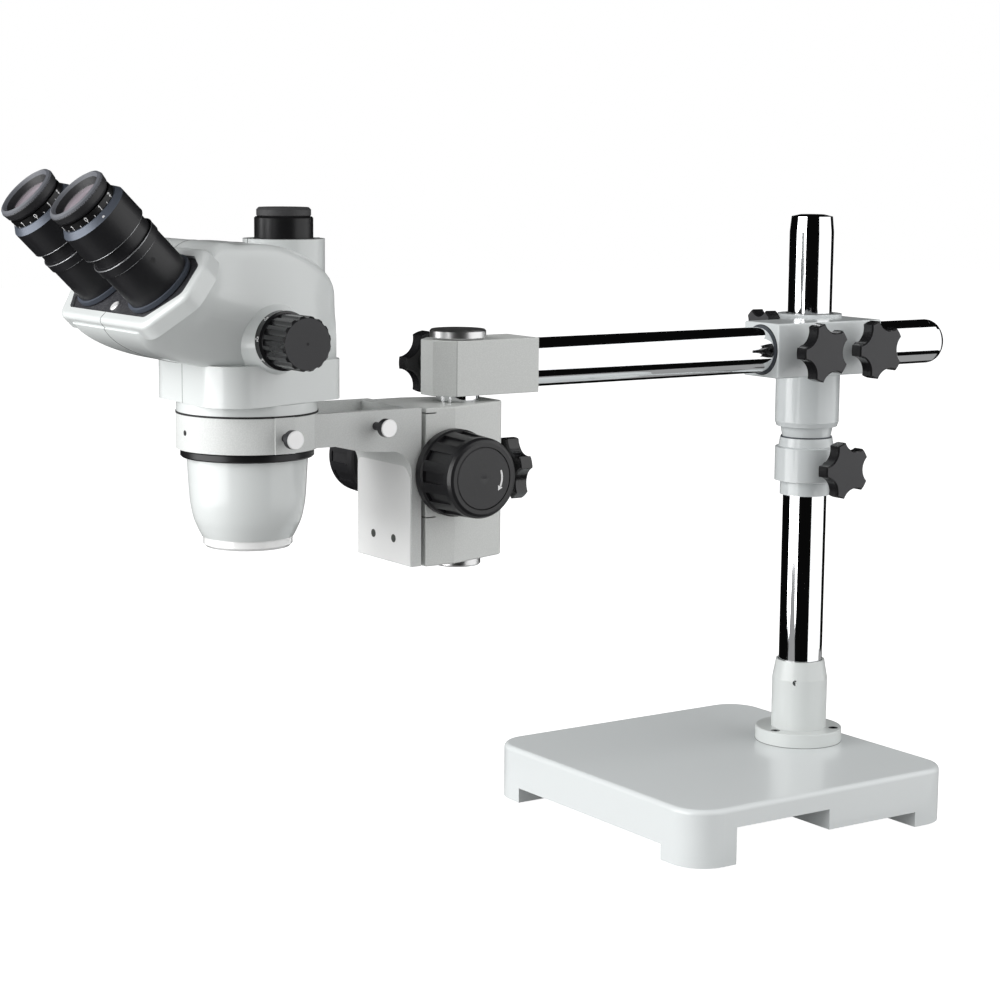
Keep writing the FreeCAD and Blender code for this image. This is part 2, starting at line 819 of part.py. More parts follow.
def make_cross_block():
    """Cross block: a bar bored for the arm, with an upright sleeve for the post behind it."""
    near = YC - S.block_half_depth
    far = YC + S.block_half_depth
    bottom = S.boom_height - S.block_half_height
    bar = new_body("cross_bar_body")
    outline = sketch_on(bar, "cross_bar_outline", "XY_Plane", bottom)
    draw_outline(outline, [(-S.block_left, near), (S.block_right, near),
                           (S.block_right, 0.0), (-S.sleeve_radius * 0.8, 0.0),
                           (-S.sleeve_radius * 0.8, far), (-S.block_left, far)])
    bar.Tip = pad(bar, "cross_bar_pad", outline, S.block_half_height * 2.0)
    left = -SIZES["block_left"]
    right = SIZES["block_right"]

    def outer_edge(edge):
        box = edge.BoundBox
        on_end = abs(box.XMin - left) < 0.01 or abs(box.XMax - right) < 0.01
        return on_end or (abs(box.YMin - near.value) < 0.01 and abs(box.YMax - near.value) < 0.01)
    bar.Tip = soften(bar, "cross_bar_round", S.block_round, outer_edge)
    neck = S.sleeve_neck_height
    crown = S.sleeve_bottom + 3.5
    sleeve = turned("cross_sleeve_body", [
        (0.0, SLEEVE_TIP + S.seat_gap), (S.sleeve_neck_radius - 1.4, SLEEVE_TIP + S.seat_gap),
        (S.sleeve_neck_radius, SLEEVE_TIP + neck), (S.sleeve_radius - 1.2, S.sleeve_bottom),
        (S.sleeve_radius, crown), (S.sleeve_radius, SADDLE_TOP + S.sleeve_crown),
        (0.0, SADDLE_TOP + S.sleeve_crown)])
    casting = fused("cross_casting", [bar, sleeve])
    bush_bore = post_bush_radius() + S.running_gap
    tools = [
        cylinder("cross_post_bore", bush_bore, S.sleeve_bottom,
                 (0.0, 0.0, SLEEVE_TIP)),
        cylinder("cross_arm_bore", arm_bush_radius() + S.running_gap,
                 S.block_left + S.block_right + S.star_radius,
                 (-S.block_left - 1.0, YC, S.boom_height), TO_RIGHT),
    ]
    for index, across in enumerate(arm_knob_places()):
        tools.append(cylinder("cross_arm_thread_%d" % index, S.stud_radius + S.running_gap,
                              S.block_half_depth, (across, YC, S.boom_height), TO_NEAR))
    tools.append(cylinder("cross_post_thread", S.stud_radius + S.running_gap,
                          S.sleeve_radius * 2.0, (0.0, 0.0, post_knob_height()), OFF_LEFT))
    keep(cut("cross_block_cut", casting, tools), "cross_block")
    bush = turned("post_bush_body", [
        (S.post_radius + S.running_gap, SLEEVE_TIP + S.seat_gap * 2.0),
        (post_bush_radius(), SLEEVE_TIP + S.seat_gap * 2.0),
        (post_bush_radius(), SADDLE_TOP + S.sleeve_crown - S.seat_gap),
        (S.post_radius + S.running_gap, SADDLE_TOP + S.sleeve_crown - S.seat_gap)])
    keep(bush, "post_bush")
    near_face = YC - S.block_half_depth
    for name, across in zip(("arm_knob_left", "arm_knob_right"), arm_knob_places()):
        tip = YC - arm_bush_radius() - S.seat_gap
        length = tip - near_face + S.block_stud_reach
        keep(star_knob(name, length, (across, tip, S.boom_height), TO_NEAR), name)
    tip = post_bush_radius() + S.seat_gap
    turn = math.radians(180.0 + SIZES["post_knob_turn"])
    keep(star_knob("post_lock_knob", S.sleeve_radius - tip + S.sleeve_stud_reach,
                   (tip * math.cos(turn), tip * math.sin(turn), post_knob_height()), OFF_LEFT),
         "post_lock_knob")


def arm_knob_places():
    """Return where the two arm clamp knobs stand along the boom."""
    return [-S.arm_knob_left, -S.arm_knob_left + S.arm_knob_pitch]


def post_knob_height():
    """Return the height of the knob that clamps the cross block to the post."""
    return S.boom_height + S.post_knob_rise


def arm_bush_radius():
    """Return the outer radius of the liner that the arm slides in."""
    return S.arm_radius + S.bush_wall


def make_arm():
    """Boom arm with its liner, domed end cap, inner spigot and end block."""
    bore = S.arm_radius + S.running_gap
    length = S.block_left + S.block_right
    liner = turned("arm_bush_body", [
        (bore, -S.bush_rim), (arm_bush_radius(), -S.bush_rim), (arm_bush_radius(), length),
        (bore, length)])
    place(liner, (-S.block_left, YC, S.boom_height), TO_RIGHT)
    keep(liner, "arm_bush")
    tube_length = S.arm_left + S.arm_right
    inner = S.arm_radius - S.arm_wall
    tube = turned("arm_tube_body", [(inner, 0.0), (S.arm_radius, 0.0), (S.arm_radius, tube_length),
                                    (inner, tube_length)])
    place(tube, (-S.arm_left, YC, S.boom_height), TO_RIGHT)
    keep(tube, "arm_tube")
    steps = 6
    dome = []
    for index in range(steps + 1):
        angle = math.radians(90.0 * index / steps)
        reach = S.arm_cap_length - 3.0
        dome.append((S.arm_radius * 0.45 + S.arm_radius * 0.55 * math.cos(angle),
                     3.0 + reach * math.sin(angle)))
    cap = turned("arm_cap_body", [(0.0, -8.0), (inner - S.running_gap, -8.0),
                                  (inner - S.running_gap, 0.0), (S.arm_radius, 0.0)] + dome
                 + [(0.0, S.arm_cap_length)])
    place(cap, (S.arm_right, YC, S.boom_height), TO_RIGHT)
    keep(cap, "arm_end_cap")
    spigot = cylinder("arm_spigot_rod", inner - S.running_gap, S.spigot_length,
                      (-S.arm_left - S.spigot_seat, YC, S.boom_height), TO_RIGHT)
    keep(spigot, "arm_spigot")
    body = new_body("end_block_body")
    outline = sketch_on(body, "end_block_outline", "XY_Plane", END_BLOCK_BOTTOM)
    left = -S.arm_left - S.end_block_length
    corner = left + S.end_block_chamfer
    wide = S.end_block_half_width
    nose = S.end_block_nose
    draw_outline(outline, [(-S.arm_left, YC - wide), (-S.arm_left, YC + wide), (corner, YC + wide),
                           (left, YC + nose), (left, YC - nose), (corner, YC - wide)])
    body.Tip = pad(body, "end_block_pad", outline, S.end_block_height)
    body.Tip = soften(body, "end_block_round", S.disc_round * 0.5, lambda edge: True)
    tools = [
        cylinder("end_block_arm_bore", inner, S.spigot_seat,
                 (-S.arm_left - S.spigot_seat, YC, S.boom_height), TO_RIGHT),
        cylinder("end_block_post_bore", S.focus_post_radius + S.running_gap,
                 S.end_block_height, (XF, YC, END_BLOCK_BOTTOM)),
        cylinder("end_block_thread", S.stud_radius + S.running_gap, S.end_block_half_width + 2.0,
                 (XF, YC, S.boom_height), TO_FAR),
    ]
    keep(cut("end_block_cut", body, tools), "end_block")
    tip = YC + S.focus_post_radius + S.seat_gap
    keep(star_knob("end_block_knob",
                   S.end_block_half_width - S.focus_post_radius + S.sleeve_stud_reach,
                   (XF, tip, S.boom_height), TO_FAR), "end_block_knob")


def make_focus_post():
    """Polished post that hangs in the end block, with a disc on each end."""
    top = END_BLOCK_TOP + S.seat_gap
    keep(cylinder("focus_post_rod", S.focus_post_radius, top - S.focus_post_bottom,
                  (XF, YC, S.focus_post_bottom)), "focus_post")
    for name, radius, height, low in (
            ("post_top_disc", S.top_disc_radius, S.top_disc_height, top),
            ("post_bottom_disc", S.bottom_disc_radius, S.bottom_disc_height,
             S.focus_post_bottom - S.bottom_disc_height)):
        disc = turned(name + "_body", [
            (0.0, 0.0), (radius - S.disc_round, 0.0), (radius, S.disc_round),
            (radius, height - S.disc_round), (radius - S.disc_round, height), (0.0, height)])
        place(disc, (XF, YC, low))
        keep(disc, name)


def slide_outline(gap):
    """Return the dovetail outline of the slide, or of its channel when a gap is given."""
    front = -S.bracket_rear
    rear = front + S.slide_thickness
    narrow = S.slide_half_width
    wide = narrow + S.slide_flare
    return [(front, YC - narrow - gap), (rear + gap, YC - wide - gap),
            (rear + gap, YC + wide + gap), (front, YC + narrow + gap)]


def make_focus_unit():
    """Housing on the focus post, slide with its rack, pinion shaft, bushes and knobs."""
    front = -S.housing_front
    crease = -S.housing_crease
    rear = -S.housing_rear
    wide = S.housing_half_width
    slim = S.housing_rear_half_width
    height = S.housing_top - S.housing_bottom
    body = new_body("focus_housing_body")
    outline = sketch_on(body, "housing_outline", "XY_Plane", S.housing_bottom)
    draw_outline(outline, [(front, YC - wide), (crease, YC - wide), (rear, YC - slim),
                           (rear, YC + slim), (crease, YC + wide), (front, YC + wide)])
    body.Tip = pad(body, "housing_pad", outline, height)
    back = rear.value
    body.Tip = soften(body, "housing_rear_round", S.housing_round,
                      lambda edge: is_upright(edge) and abs(edge.BoundBox.XMin - back) < 0.01)
    levels = (SIZES["housing_top"], SIZES["housing_bottom"])
    body.Tip = soften(body, "housing_edge_round", S.disc_round,
                      lambda edge: at_height(edge, levels[0]) or at_height(edge, levels[1]))
    channel = sketch_on(body, "housing_channel_outline", "XY_Plane", S.housing_bottom - 1.0)
    draw_outline(channel, slide_outline(S.seat_gap))
    body.Tip = pocket(body, "housing_channel", channel,
                      S.housing_slit_upper - S.housing_bottom, True)
    room = sketch_on(body, "housing_rack_outline", "XY_Plane", S.housing_bottom - 1.0)
    rack_rear = RACK_LINE + S.tooth_module + S.seat_gap * 2.0
    draw_outline(room, [(front, YC - S.rack_half_width - S.seat_gap),
                        (rack_rear, YC - S.rack_half_width - S.seat_gap),
                        (rack_rear, YC + S.rack_half_width + S.seat_gap),
                        (front, YC + S.rack_half_width + S.seat_gap)])
    body.Tip = pocket(body, "housing_rack_room", room,
                      S.housing_slit_upper - S.housing_bottom, True)
    across = wide * 2.0 + 2.0
    tools = [
        cylinder("housing_post_bore", S.focus_post_radius + S.running_gap, height + 2.0,
                 (XF, YC, S.housing_bottom - 1.0)),
        cylinder("housing_shaft_bore", S.shaft_radius + S.seat_gap, across,
                 (PINION_X, YC + wide + 1.0, S.pinion_height), TO_NEAR),
        cylinder("housing_pinion_room", PITCH_RADIUS + S.tooth_module + S.seat_gap * 2.0,
                 (S.pinion_half_width + S.seat_gap) * 2.0,
                 (PINION_X, YC + S.pinion_half_width + S.seat_gap, S.pinion_height), TO_NEAR),
        cylinder("housing_lock_thread", S.stud_radius + S.running_gap,
                 S.focus_post_axis - S.housing_rear + 1.0, (XF, YC, S.lock_knob_height), TO_RIGHT),
    ]
    for index, level in enumerate((S.housing_slit_upper, S.housing_slit_lower)):
        tools.append(block("housing_slit_%d" % index,
                           (S.housing_slit_depth, across, S.housing_slit),
                           (front - 0.5, YC - wide - 1.0, level - S.housing_slit / 2.0)))
    bushes = []
    for index, side in enumerate((-1, 1)):
        turn = TO_NEAR if side < 0 else TO_FAR
        start = YC + side * (wide - S.bush_length)
        tools.append(cylinder("housing_bush_seat_%d" % index, S.bush_radius + S.running_gap,
                              S.bush_length + 1.0, (PINION_X, start, S.pinion_height), turn))
        bush = turned("pinion_bush_%d" % index, [
            (S.shaft_radius + S.running_gap, 0.0), (S.bush_radius, 0.0),
            (S.bush_radius, S.bush_length), (S.shaft_radius + S.running_gap, S.bush_length)])
        place(bush, (PINION_X, start, S.pinion_height), turn)
        bushes.append(bush)
    keep(cut("focus_housing_cut", body, tools), "focus_housing")
    keep(group("pinion_bush_pair", bushes), "pinion_bushes")
    tip = XF + S.focus_post_radius + S.seat_gap
    keep(star_knob("focus_lock_knob",
                   rear - tip + S.sleeve_stud_reach, (tip, YC, S.lock_knob_height), TO_RIGHT),
         "focus_lock_knob")
    make_slide()
    make_pinion()


def slide_screw_spots():
    """Return the offset from the centre plane and the height of each screw in the slide."""
    return [(side * S.slide_screw_spread, level)
            for side in (-1, 1) for level in (S.slide_bottom + 28.0, S.slide_top - 8.0)]


def make_slide():
    """Dovetail slide screwed to the bracket, and the rack on its back."""
    height = S.slide_top - S.slide_bottom
    body = new_body("slide_plate_body")
    outline = sketch_on(body, "slide_outline", "XY_Plane", S.slide_bottom)
    draw_outline(outline, slide_outline(0.0))
    body.Tip = pad(body, "slide_pad", outline, height)
    rear = -S.bracket_rear + S.slide_thickness
    tools = []
    screws = []
    for index, (side, level) in enumerate(slide_screw_spots()):
        spot = (rear - S.cap_screw_height, YC + side, level)
        tools.append(cylinder("slide_head_seat_%d" % index, S.cap_screw_radius + S.running_gap,
                              S.cap_screw_height + 1.0, spot, TO_RIGHT))
        tools.append(cylinder("slide_screw_hole_%d" % index, S.cap_screw_shank + S.running_gap,
                              S.slide_thickness, spot, TO_LEFT))
        screws.append(cap_screw("slide_screw_%d" % index, spot, TO_RIGHT, S.slide_screw_length))
    keep(cut("slide_plate_cut", body, tools), "slide_plate")
    keep(group("slide_screw_set", screws), "slide_screws")
    pitch = SIZES["tooth_module"] * math.pi
    low = SIZES["slide_bottom"]
    high = SIZES["slide_top"]
    line = RACK_LINE
    tooth = S.tooth_module
    root = line - tooth * 1.25
    tip = line + tooth
    rack = new_body("focus_rack_body")
    profile = sketch_on(rack, "rack_outline", "XZ_Plane", -YC - S.rack_half_width)
    points = [(rear, low), (rear, high), (root, high)]
    centre = SIZES["pinion_height"] + pitch / 2.0
    while centre + pitch < high:
        centre += pitch
    while centre - pitch / 2.0 > low:
        points += [(root, centre + 1.15), (tip, centre + 0.35),
                   (tip, centre - 0.35), (root, centre - 1.15)]
        centre -= pitch
    points.append((root, low))
    draw_outline(profile, points)
    rack.Tip = pad(rack, "rack_pad", profile, S.rack_half_width * 2.0)
    keep(rack, "focus_rack")


def make_pinion():
    """Pinion shaft along Y, its two ribbed knobs and the plain caps in their faces."""
    reach = S.housing_half_width + S.focus_knob_gap
    body = new_body("pinion_shaft_body")
    end = reach + S.focus_knob_length * 0.8
    core = sketch_on(body, "pinion_core", "XY_Plane", -(end + S.focus_knob_hub))
    draw_circle(core, (0.0, 0.0), S.shaft_radius)
    body.Tip = pad(body, "pinion_core_pad", core, end * 2.0 + S.focus_knob_hub)
    wheel = sketch_on(body, "pinion_wheel", "XY_Plane", -S.pinion_half_width)
    points = []
    count = int(SIZES["pinion_teeth"])
    inner = PITCH_RADIUS - S.tooth_module * 1.25
    outer = PITCH_RADIUS + S.tooth_module * 0.95
    for index in range(count):
        centre = 360.0 / count * index
        for radius, turn in ((inner, -9.0), (outer, -2.6), (outer, 2.6), (inner, 9.0)):
            angle = math.radians(centre + turn)
            points.append((radius * math.cos(angle), radius * math.sin(angle)))
    draw_outline(wheel, points)
    body.Tip = pad(body, "pinion_wheel_pad", wheel, S.pinion_half_width * 2.0)
    place(body, (PINION_X, YC, S.pinion_height), TO_NEAR)
    keep(body, "pinion_shaft")
    caps = []
    hub_radius = S.focus_knob_hub_radius
    for name, side, turn, hub in (("near", -1, TO_NEAR, S.seat_gap),
                                  ("far", 1, TO_FAR, S.focus_knob_hub)):
        length = S.focus_knob_length
        stand = reach + hub
        bore = S.shaft_radius + S.running_gap
        back = S.focus_knob_back_radius
        tip = S.focus_knob_front_radius
        floor = length - S.tension_cap_depth
        knob = turned("focus_knob_%s_body" % name, [
            (bore, -hub), (hub_radius, -hub), (hub_radius, 0.0),
            (back - 1.2, 0.0), (back, 1.2), (back, S.focus_knob_band),
            (back - 1.0, S.focus_knob_band + 1.0), (tip + 0.6, length - S.focus_knob_lip),
            (tip - 0.7, length - 0.9), (tip - 2.4, length),
            (S.tension_cap_radius + S.seat_gap, length),
            (S.tension_cap_radius + S.seat_gap, floor), (bore, floor)])
        groove = sketch_on(knob, "focus_groove_%s" % name, "XY_Plane", S.focus_knob_band + 1.5)
        half = S.focus_knob_groove_width / 2.0
        draw_outline(groove, [(tip - 0.2, -half), (back + 2.0, -half),
                              (back + 2.0, half), (tip - 0.2, half)])
        bite = pocket(knob, "focus_groove_cut_%s" % name, groove,
                      S.focus_knob_groove_length, True)
        knob.Tip = bite
        repeat_round(knob, "focus_grooves_%s" % name, [bite], S.focus_knob_ribs)
        place(knob, (PINION_X, YC + side * stand, S.pinion_height), turn)
        keep(knob, "focus_knob_" + name)
        cap = turned("tension_cap_%s" % name, [
            (0.0, 0.0), (S.tension_cap_radius, 0.0),
            (S.tension_cap_radius, S.tension_cap_depth - 0.5),
            (S.tension_cap_radius - 0.6, S.tension_cap_depth + 0.1),
            (0.0, S.tension_cap_depth + 0.4)])
        place(cap, (PINION_X, YC + side * (stand + floor), S.pinion_height), turn)
        caps.append(cap)
    keep(group("tension_cap_pair", caps), "tension_caps")


def thumb_screw(name, length, at, turn):
    """Knurled thumb screw: its tip is at the given point."""
    body = turned(name + "_body", [
        (0.0, 0.0), (S.thumb_shank_radius, 0.0), (S.thumb_shank_radius, length),
        (S.thumb_collar_radius, length), (S.thumb_collar_radius, length + 2.0),
        (S.thumb_head_radius - 0.5, length + 2.0), (S.thumb_head_radius, length + 2.5),
        (S.thumb_head_radius, length + 1.6 + S.thumb_head_length),
        (S.thumb_head_radius - 0.5, length + 2.0 + S.thumb_head_length),
        (0.0, length + 2.0 + S.thumb_head_length)])
    place(body, at, turn)
    return body


def make_bracket():
    """Bracket that reaches from the slide to the ring round the head's barrel."""
    rear = -S.bracket_rear
    front = rear - S.bracket_plate
    wide = S.housing_half_width
    body = new_body("head_bracket_body")
    profile = sketch_on(body, "bracket_profile", "XZ_Plane", -YC - wide)
    draw_outline(profile, [
        (XO, S.bracket_under_ring), (XO + S.ring_radius, S.bracket_under_ring),
        (XO + S.ring_radius + 17.0, S.bracket_under_ring - 4.0),
        (front - 18.0, S.bracket_under_plate), (front, S.bracket_under_plate),
        (front, S.bracket_bottom), (rear, S.bracket_bottom),
        (rear, S.bracket_top), (XO, S.bracket_top)])
    body.Tip = pad(body, "bracket_pad", profile, wide * 2.0)
    bend = front.value
    under = SIZES["bracket_under_plate"]
    body.Tip = soften(body, "bracket_bend", S.bracket_fillet,
                      lambda edge: at_height(edge, under) and abs(edge.BoundBox.XMin - bend) < 0.01
                      and abs(edge.BoundBox.XMax - bend) < 0.01)
    tray = sketch_on(body, "bracket_tray", "XY_Plane", S.bracket_floor)
    inner = wide - S.bracket_wall
    draw_outline(tray, [(XO, YC - inner), (rear - S.bracket_end_wall, YC - inner),
                        (rear - S.bracket_end_wall, YC + inner), (XO, YC + inner)])
    body.Tip = pocket(body, "bracket_tray_cut", tray, S.bracket_top - S.bracket_floor + 1.0, True)
    ring_height = S.ring_top - S.ring_bottom
    ring = cylinder("ring_rim", S.ring_radius, ring_height, (XO, YC, S.ring_bottom))
    boss = block("ring_boss", (S.ring_pad_width, S.ring_pad_reach, ring_height),
                 (XO + S.ring_pad_offset - S.ring_pad_width / 2.0, YC - S.ring_pad_reach,
                  S.ring_bottom))
    whole = fused("bracket_with_ring", [body, ring, boss])
    arm_screw = (-S.arm_thumb_place, YC - inner + 4.0, S.arm_thumb_height)
    ring_screw = (XO + S.ring_pad_offset, YC - BARREL_SPIGOT - S.seat_gap,
                  S.ring_top - ring_height * 0.56)
    shank = S.thumb_shank_radius + S.running_gap
    tools = [
        cylinder("ring_hole", S.ring_bore, ring_height + 2.0, (XO, YC, S.ring_bottom - 1.0)),
        cylinder("arm_screw_hole", shank, S.bracket_wall + 6.0, arm_screw, TO_NEAR),
        cylinder("ring_screw_hole", shank, S.ring_pad_reach + 1.0,
                 (ring_screw[0], YC, ring_screw[2]), TO_NEAR),
    ]
    turn = SIZES["ring_set_screw_turn"]
    tools.append(cylinder("ring_set_screw_hole", S.set_screw_radius, S.ring_radius + 1.0,
                          (XO, YC, S.ring_bottom + 6.5), (turn, 90.0, 0.0)))
    for index, side in enumerate((-1, 1)):
        tools.append(cylinder("bracket_hole_%d" % index, S.bracket_hole_radius,
                              S.bracket_plate + 2.0,
                              (front - 1.0, YC + side * S.bracket_hole_pitch / 2.0,
                               S.bracket_hole_height), TO_RIGHT))
    for index, (side, level) in enumerate(slide_screw_spots()):
        tools.append(cylinder("bracket_thread_%d" % index, S.cap_screw_shank + S.running_gap,
                              S.slide_screw_length - S.cap_screw_height,
                              (rear, YC + side, level), TO_LEFT))
    keep(cut("head_bracket_cut", whole, tools), "head_bracket")
    outer = YC - wide
    keep(thumb_screw("arm_thumb_screw", arm_screw[1] - outer + 8.0, arm_screw, TO_NEAR),
         "arm_thumb_screw")
    keep(thumb_screw("ring_thumb_screw", ring_screw[1] - (YC - S.ring_pad_reach) + 5.0,
                     ring_screw, TO_NEAR), "ring_thumb_screw")


def make_barrel():
    """Mount barrel in the ring, its keeper, the nose cone, the lens ring and the lens."""
    bore = S.barrel_bore
    web = S.barrel_top - S.barrel_web
    barrel = turned("mount_barrel_body", [
        (bore, S.keeper_bottom), (S.thread_radius, S.keeper_bottom),
        (S.thread_radius, S.ring_bottom - S.seat_gap), (BARREL_SPIGOT, S.ring_bottom - S.seat_gap),
        (BARREL_SPIGOT, S.ring_top + S.seat_gap), (S.barrel_radius, S.ring_top + S.seat_gap),
        (S.barrel_radius, S.barrel_top), (S.barrel_aperture, S.barrel_top),
        (S.barrel_aperture, web), (bore, web)])
    place(barrel, (XO, YC, 0.0))
    tools = [cylinder("guide_seat_%d" % index, S.guide_radius + S.running_gap, S.barrel_web + 2.0,
                      (XO, YC + side * S.guide_offset, web - 1.0))
             for index, side in enumerate((-1, 1))]
    keep(cut("mount_barrel_cut", barrel, tools), "mount_barrel")
    keeper = turned("retaining_ring_body", [
        (S.thread_radius + S.running_gap, 0.0), (S.keeper_radius - 0.8, 0.0),
        (S.keeper_radius, 0.8), (S.keeper_radius, S.keeper_height - 0.8),
        (S.keeper_radius - 0.8, S.keeper_height), (S.thread_radius + S.running_gap, S.keeper_height)])
    place(keeper, (XO, YC, S.keeper_bottom))
    keep(keeper, "retaining_ring")
    outer = [(S.nose_top_radius, 48.8), (S.nose_top_radius - 0.7, 38.0),
             (S.nose_top_radius - 1.7, 23.0), (S.nose_top_radius - 3.7, 12.0),
             (S.nose_top_radius - 6.4, 5.0), (S.nose_tip_radius, 0.0)]
    inner = [(S.lens_ring_seat + S.running_gap, 0.0), (S.nose_top_radius - 9.2, 5.5),
             (S.nose_top_radius - 6.4, 12.5), (S.nose_top_radius - 4.4, 23.0),
             (S.nose_top_radius - 6.6, 38.0)]
    neck = bore - S.running_gap
    top = S.keeper_bottom - S.nose_bottom - S.seat_gap * 0.5
    outer[0] = (S.nose_top_radius, top)
    nose = turned("nose_cone_body", inner + [
        (neck - S.nose_wall, top), (neck - S.nose_wall, top + S.nose_neck_height),
        (neck, top + S.nose_neck_height), (neck, top)] + outer)
    place(nose, (XO, YC, S.nose_bottom))
    keep(nose, "nose_cone")
    rim = turned("lens_ring_body", [
        (S.lens_radius + S.running_gap, 1.2), (S.lens_ring_radius - 1.6, 0.0),
        (S.lens_ring_radius, 1.6), (S.lens_ring_radius, S.nose_bottom - S.lens_ring_bottom - 0.1),
        (S.lens_ring_seat, S.nose_bottom - S.lens_ring_bottom - 0.1),
        (S.lens_ring_seat, S.nose_bottom - S.lens_ring_bottom + 5.0),
        (S.lens_radius + S.running_gap, S.nose_bottom - S.lens_ring_bottom + 5.0)])
    place(rim, (XO, YC, S.lens_ring_bottom))
    keep(rim, "lens_ring")
    keep(lens("objective_lens", S.lens_radius, S.lens_thickness, S.lens_sag,
              (XO, YC, S.lens_ring_bottom + 2.6)), "objective_lens")


def lens(name, radius, thickness, sag, at, turn=UPRIGHT):
    """Lens that bulges on both sides: its lower rim lies at the given point."""
    steps = 5
    low = []
    high = []
    for index in range(steps + 1):
        share = float(index) / steps
        drop = 1.0 - share * share
        low.append((radius * share, -(sag * drop)))
        high.append((radius * share, thickness + sag * drop))
    body = turned(name + "_body", low + high[::-1])
    place(body, at, turn)
    return body


def section_wire(section, inset):
    """Return the closed hexagonal wire of one head section, moved inwards by an inset."""
    measure = {key: getattr(S, section + "_" + key).value for key in (
        "low_x", "low_z", "high_x", "high_z",
        "low_half_width", "wide_half_width", "high_half_width")}
    low = FreeCAD.Vector(measure["low_x"] + XO.value, YC.value, measure["low_z"])
    high = FreeCAD.Vector(measure["high_x"] + XO.value, YC.value, measure["high_z"])
    rise = (high - low).normalize()
    low = low + rise * inset
    high = high - rise * inset
    middle = (low + high) * 0.5
    corners = []
    for side, order in ((1, (0, 1, 2)), (-1, (2, 1, 0))):
        rows = ((low, measure["low_half_width"]), (middle, measure["wide_half_width"]),
                (high, measure["high_half_width"]))
        for number in order:
            spot, half = rows[number]
            corners.append(spot + FreeCAD.Vector(0, side * (half - inset), 0))
    return rounded_wire(corners, 0.22)


def rounded_wire(corners, share):
    """Return a closed wire through corners, each rounded over a share of its shorter side."""
    count = len(corners)
    edges = []
    ends = []
    for index, corner in enumerate(corners):
        before = corners[index - 1]
        after = corners[(index + 1) % count]
        reach = share * min((corner - before).Length, (after - corner).Length)
        start = corner + (before - corner).normalize() * reach
        end = corner + (after - corner).normalize() * reach
        ends.append((start, corner, end))
    for index, (start, corner, end) in enumerate(ends):
        curve = Part.BezierCurve()
        curve.setPoles([start, corner, end])
        edges.append(curve.toShape())
        following = ends[(index + 1) % count][0]
        edges.append(Part.LineSegment(end, following).toShape())
    return Part.Wire(edges)


def lofted(name, sections, inset):
    """Return a solid through the wires of some head sections."""
    obj = doc.addObject("Part::Feature", name)
    wires = [section_wire(section, inset) for section in sections]
    obj.Shape = Part.makeLoft(wires, True, False)
    return obj


def plate_points(grow):
    """Return the eyepiece plate's outline as (rise, across), grown by a length."""
    half = [(0.0 - grow, S.plate_low_half_width + grow),
            (S.plate_wide_rise, S.plate_wide_half_width + grow),
            (S.plate_shoulder_rise, S.plate_shoulder_half_width + grow),
            (S.plate_top_rise + grow, S.plate_top_half_width + grow)]
    mirrored = [(rise, -as_size(across)) for rise, across in half[::-1]]
    return half + mirrored


def plate_origin():
    """Return the foot of the eyepiece plate on the centre plane."""
    return (XO - S.plate_low_x, YC, S.plate_low_z)


def plate_slab(name, grow, low, height):
    """Return a slab with the plate's outline, from a depth below the plate's face."""
    body = new_body(name)
    outline = sketch_on(body, name + "_outline", "XY_Plane", low)
    draw_outline(outline, plate_points(grow))
    body.Tip = pad(body, name + "_pad", outline, height)
    body.Tip = soften(body, name + "_corners", S.plate_corner + grow,
                      lambda edge: is_upright(edge))
    place(body, plate_origin(), TO_EYES)
    return body


def tube_frame(side, out=0.0, across=0.0, rise=0.0):
    """Return the point of an eyepiece tube's axis at a height above the plate's face."""
    diagonal = math.sqrt(0.5)
    foot = plate_origin()
    along = (S.tube_rise + rise) * diagonal
    lift = as_size(out) * diagonal
    return (foot[0] + along - lift, YC + side * (S.tube_spread + across), foot[2] + along + lift)


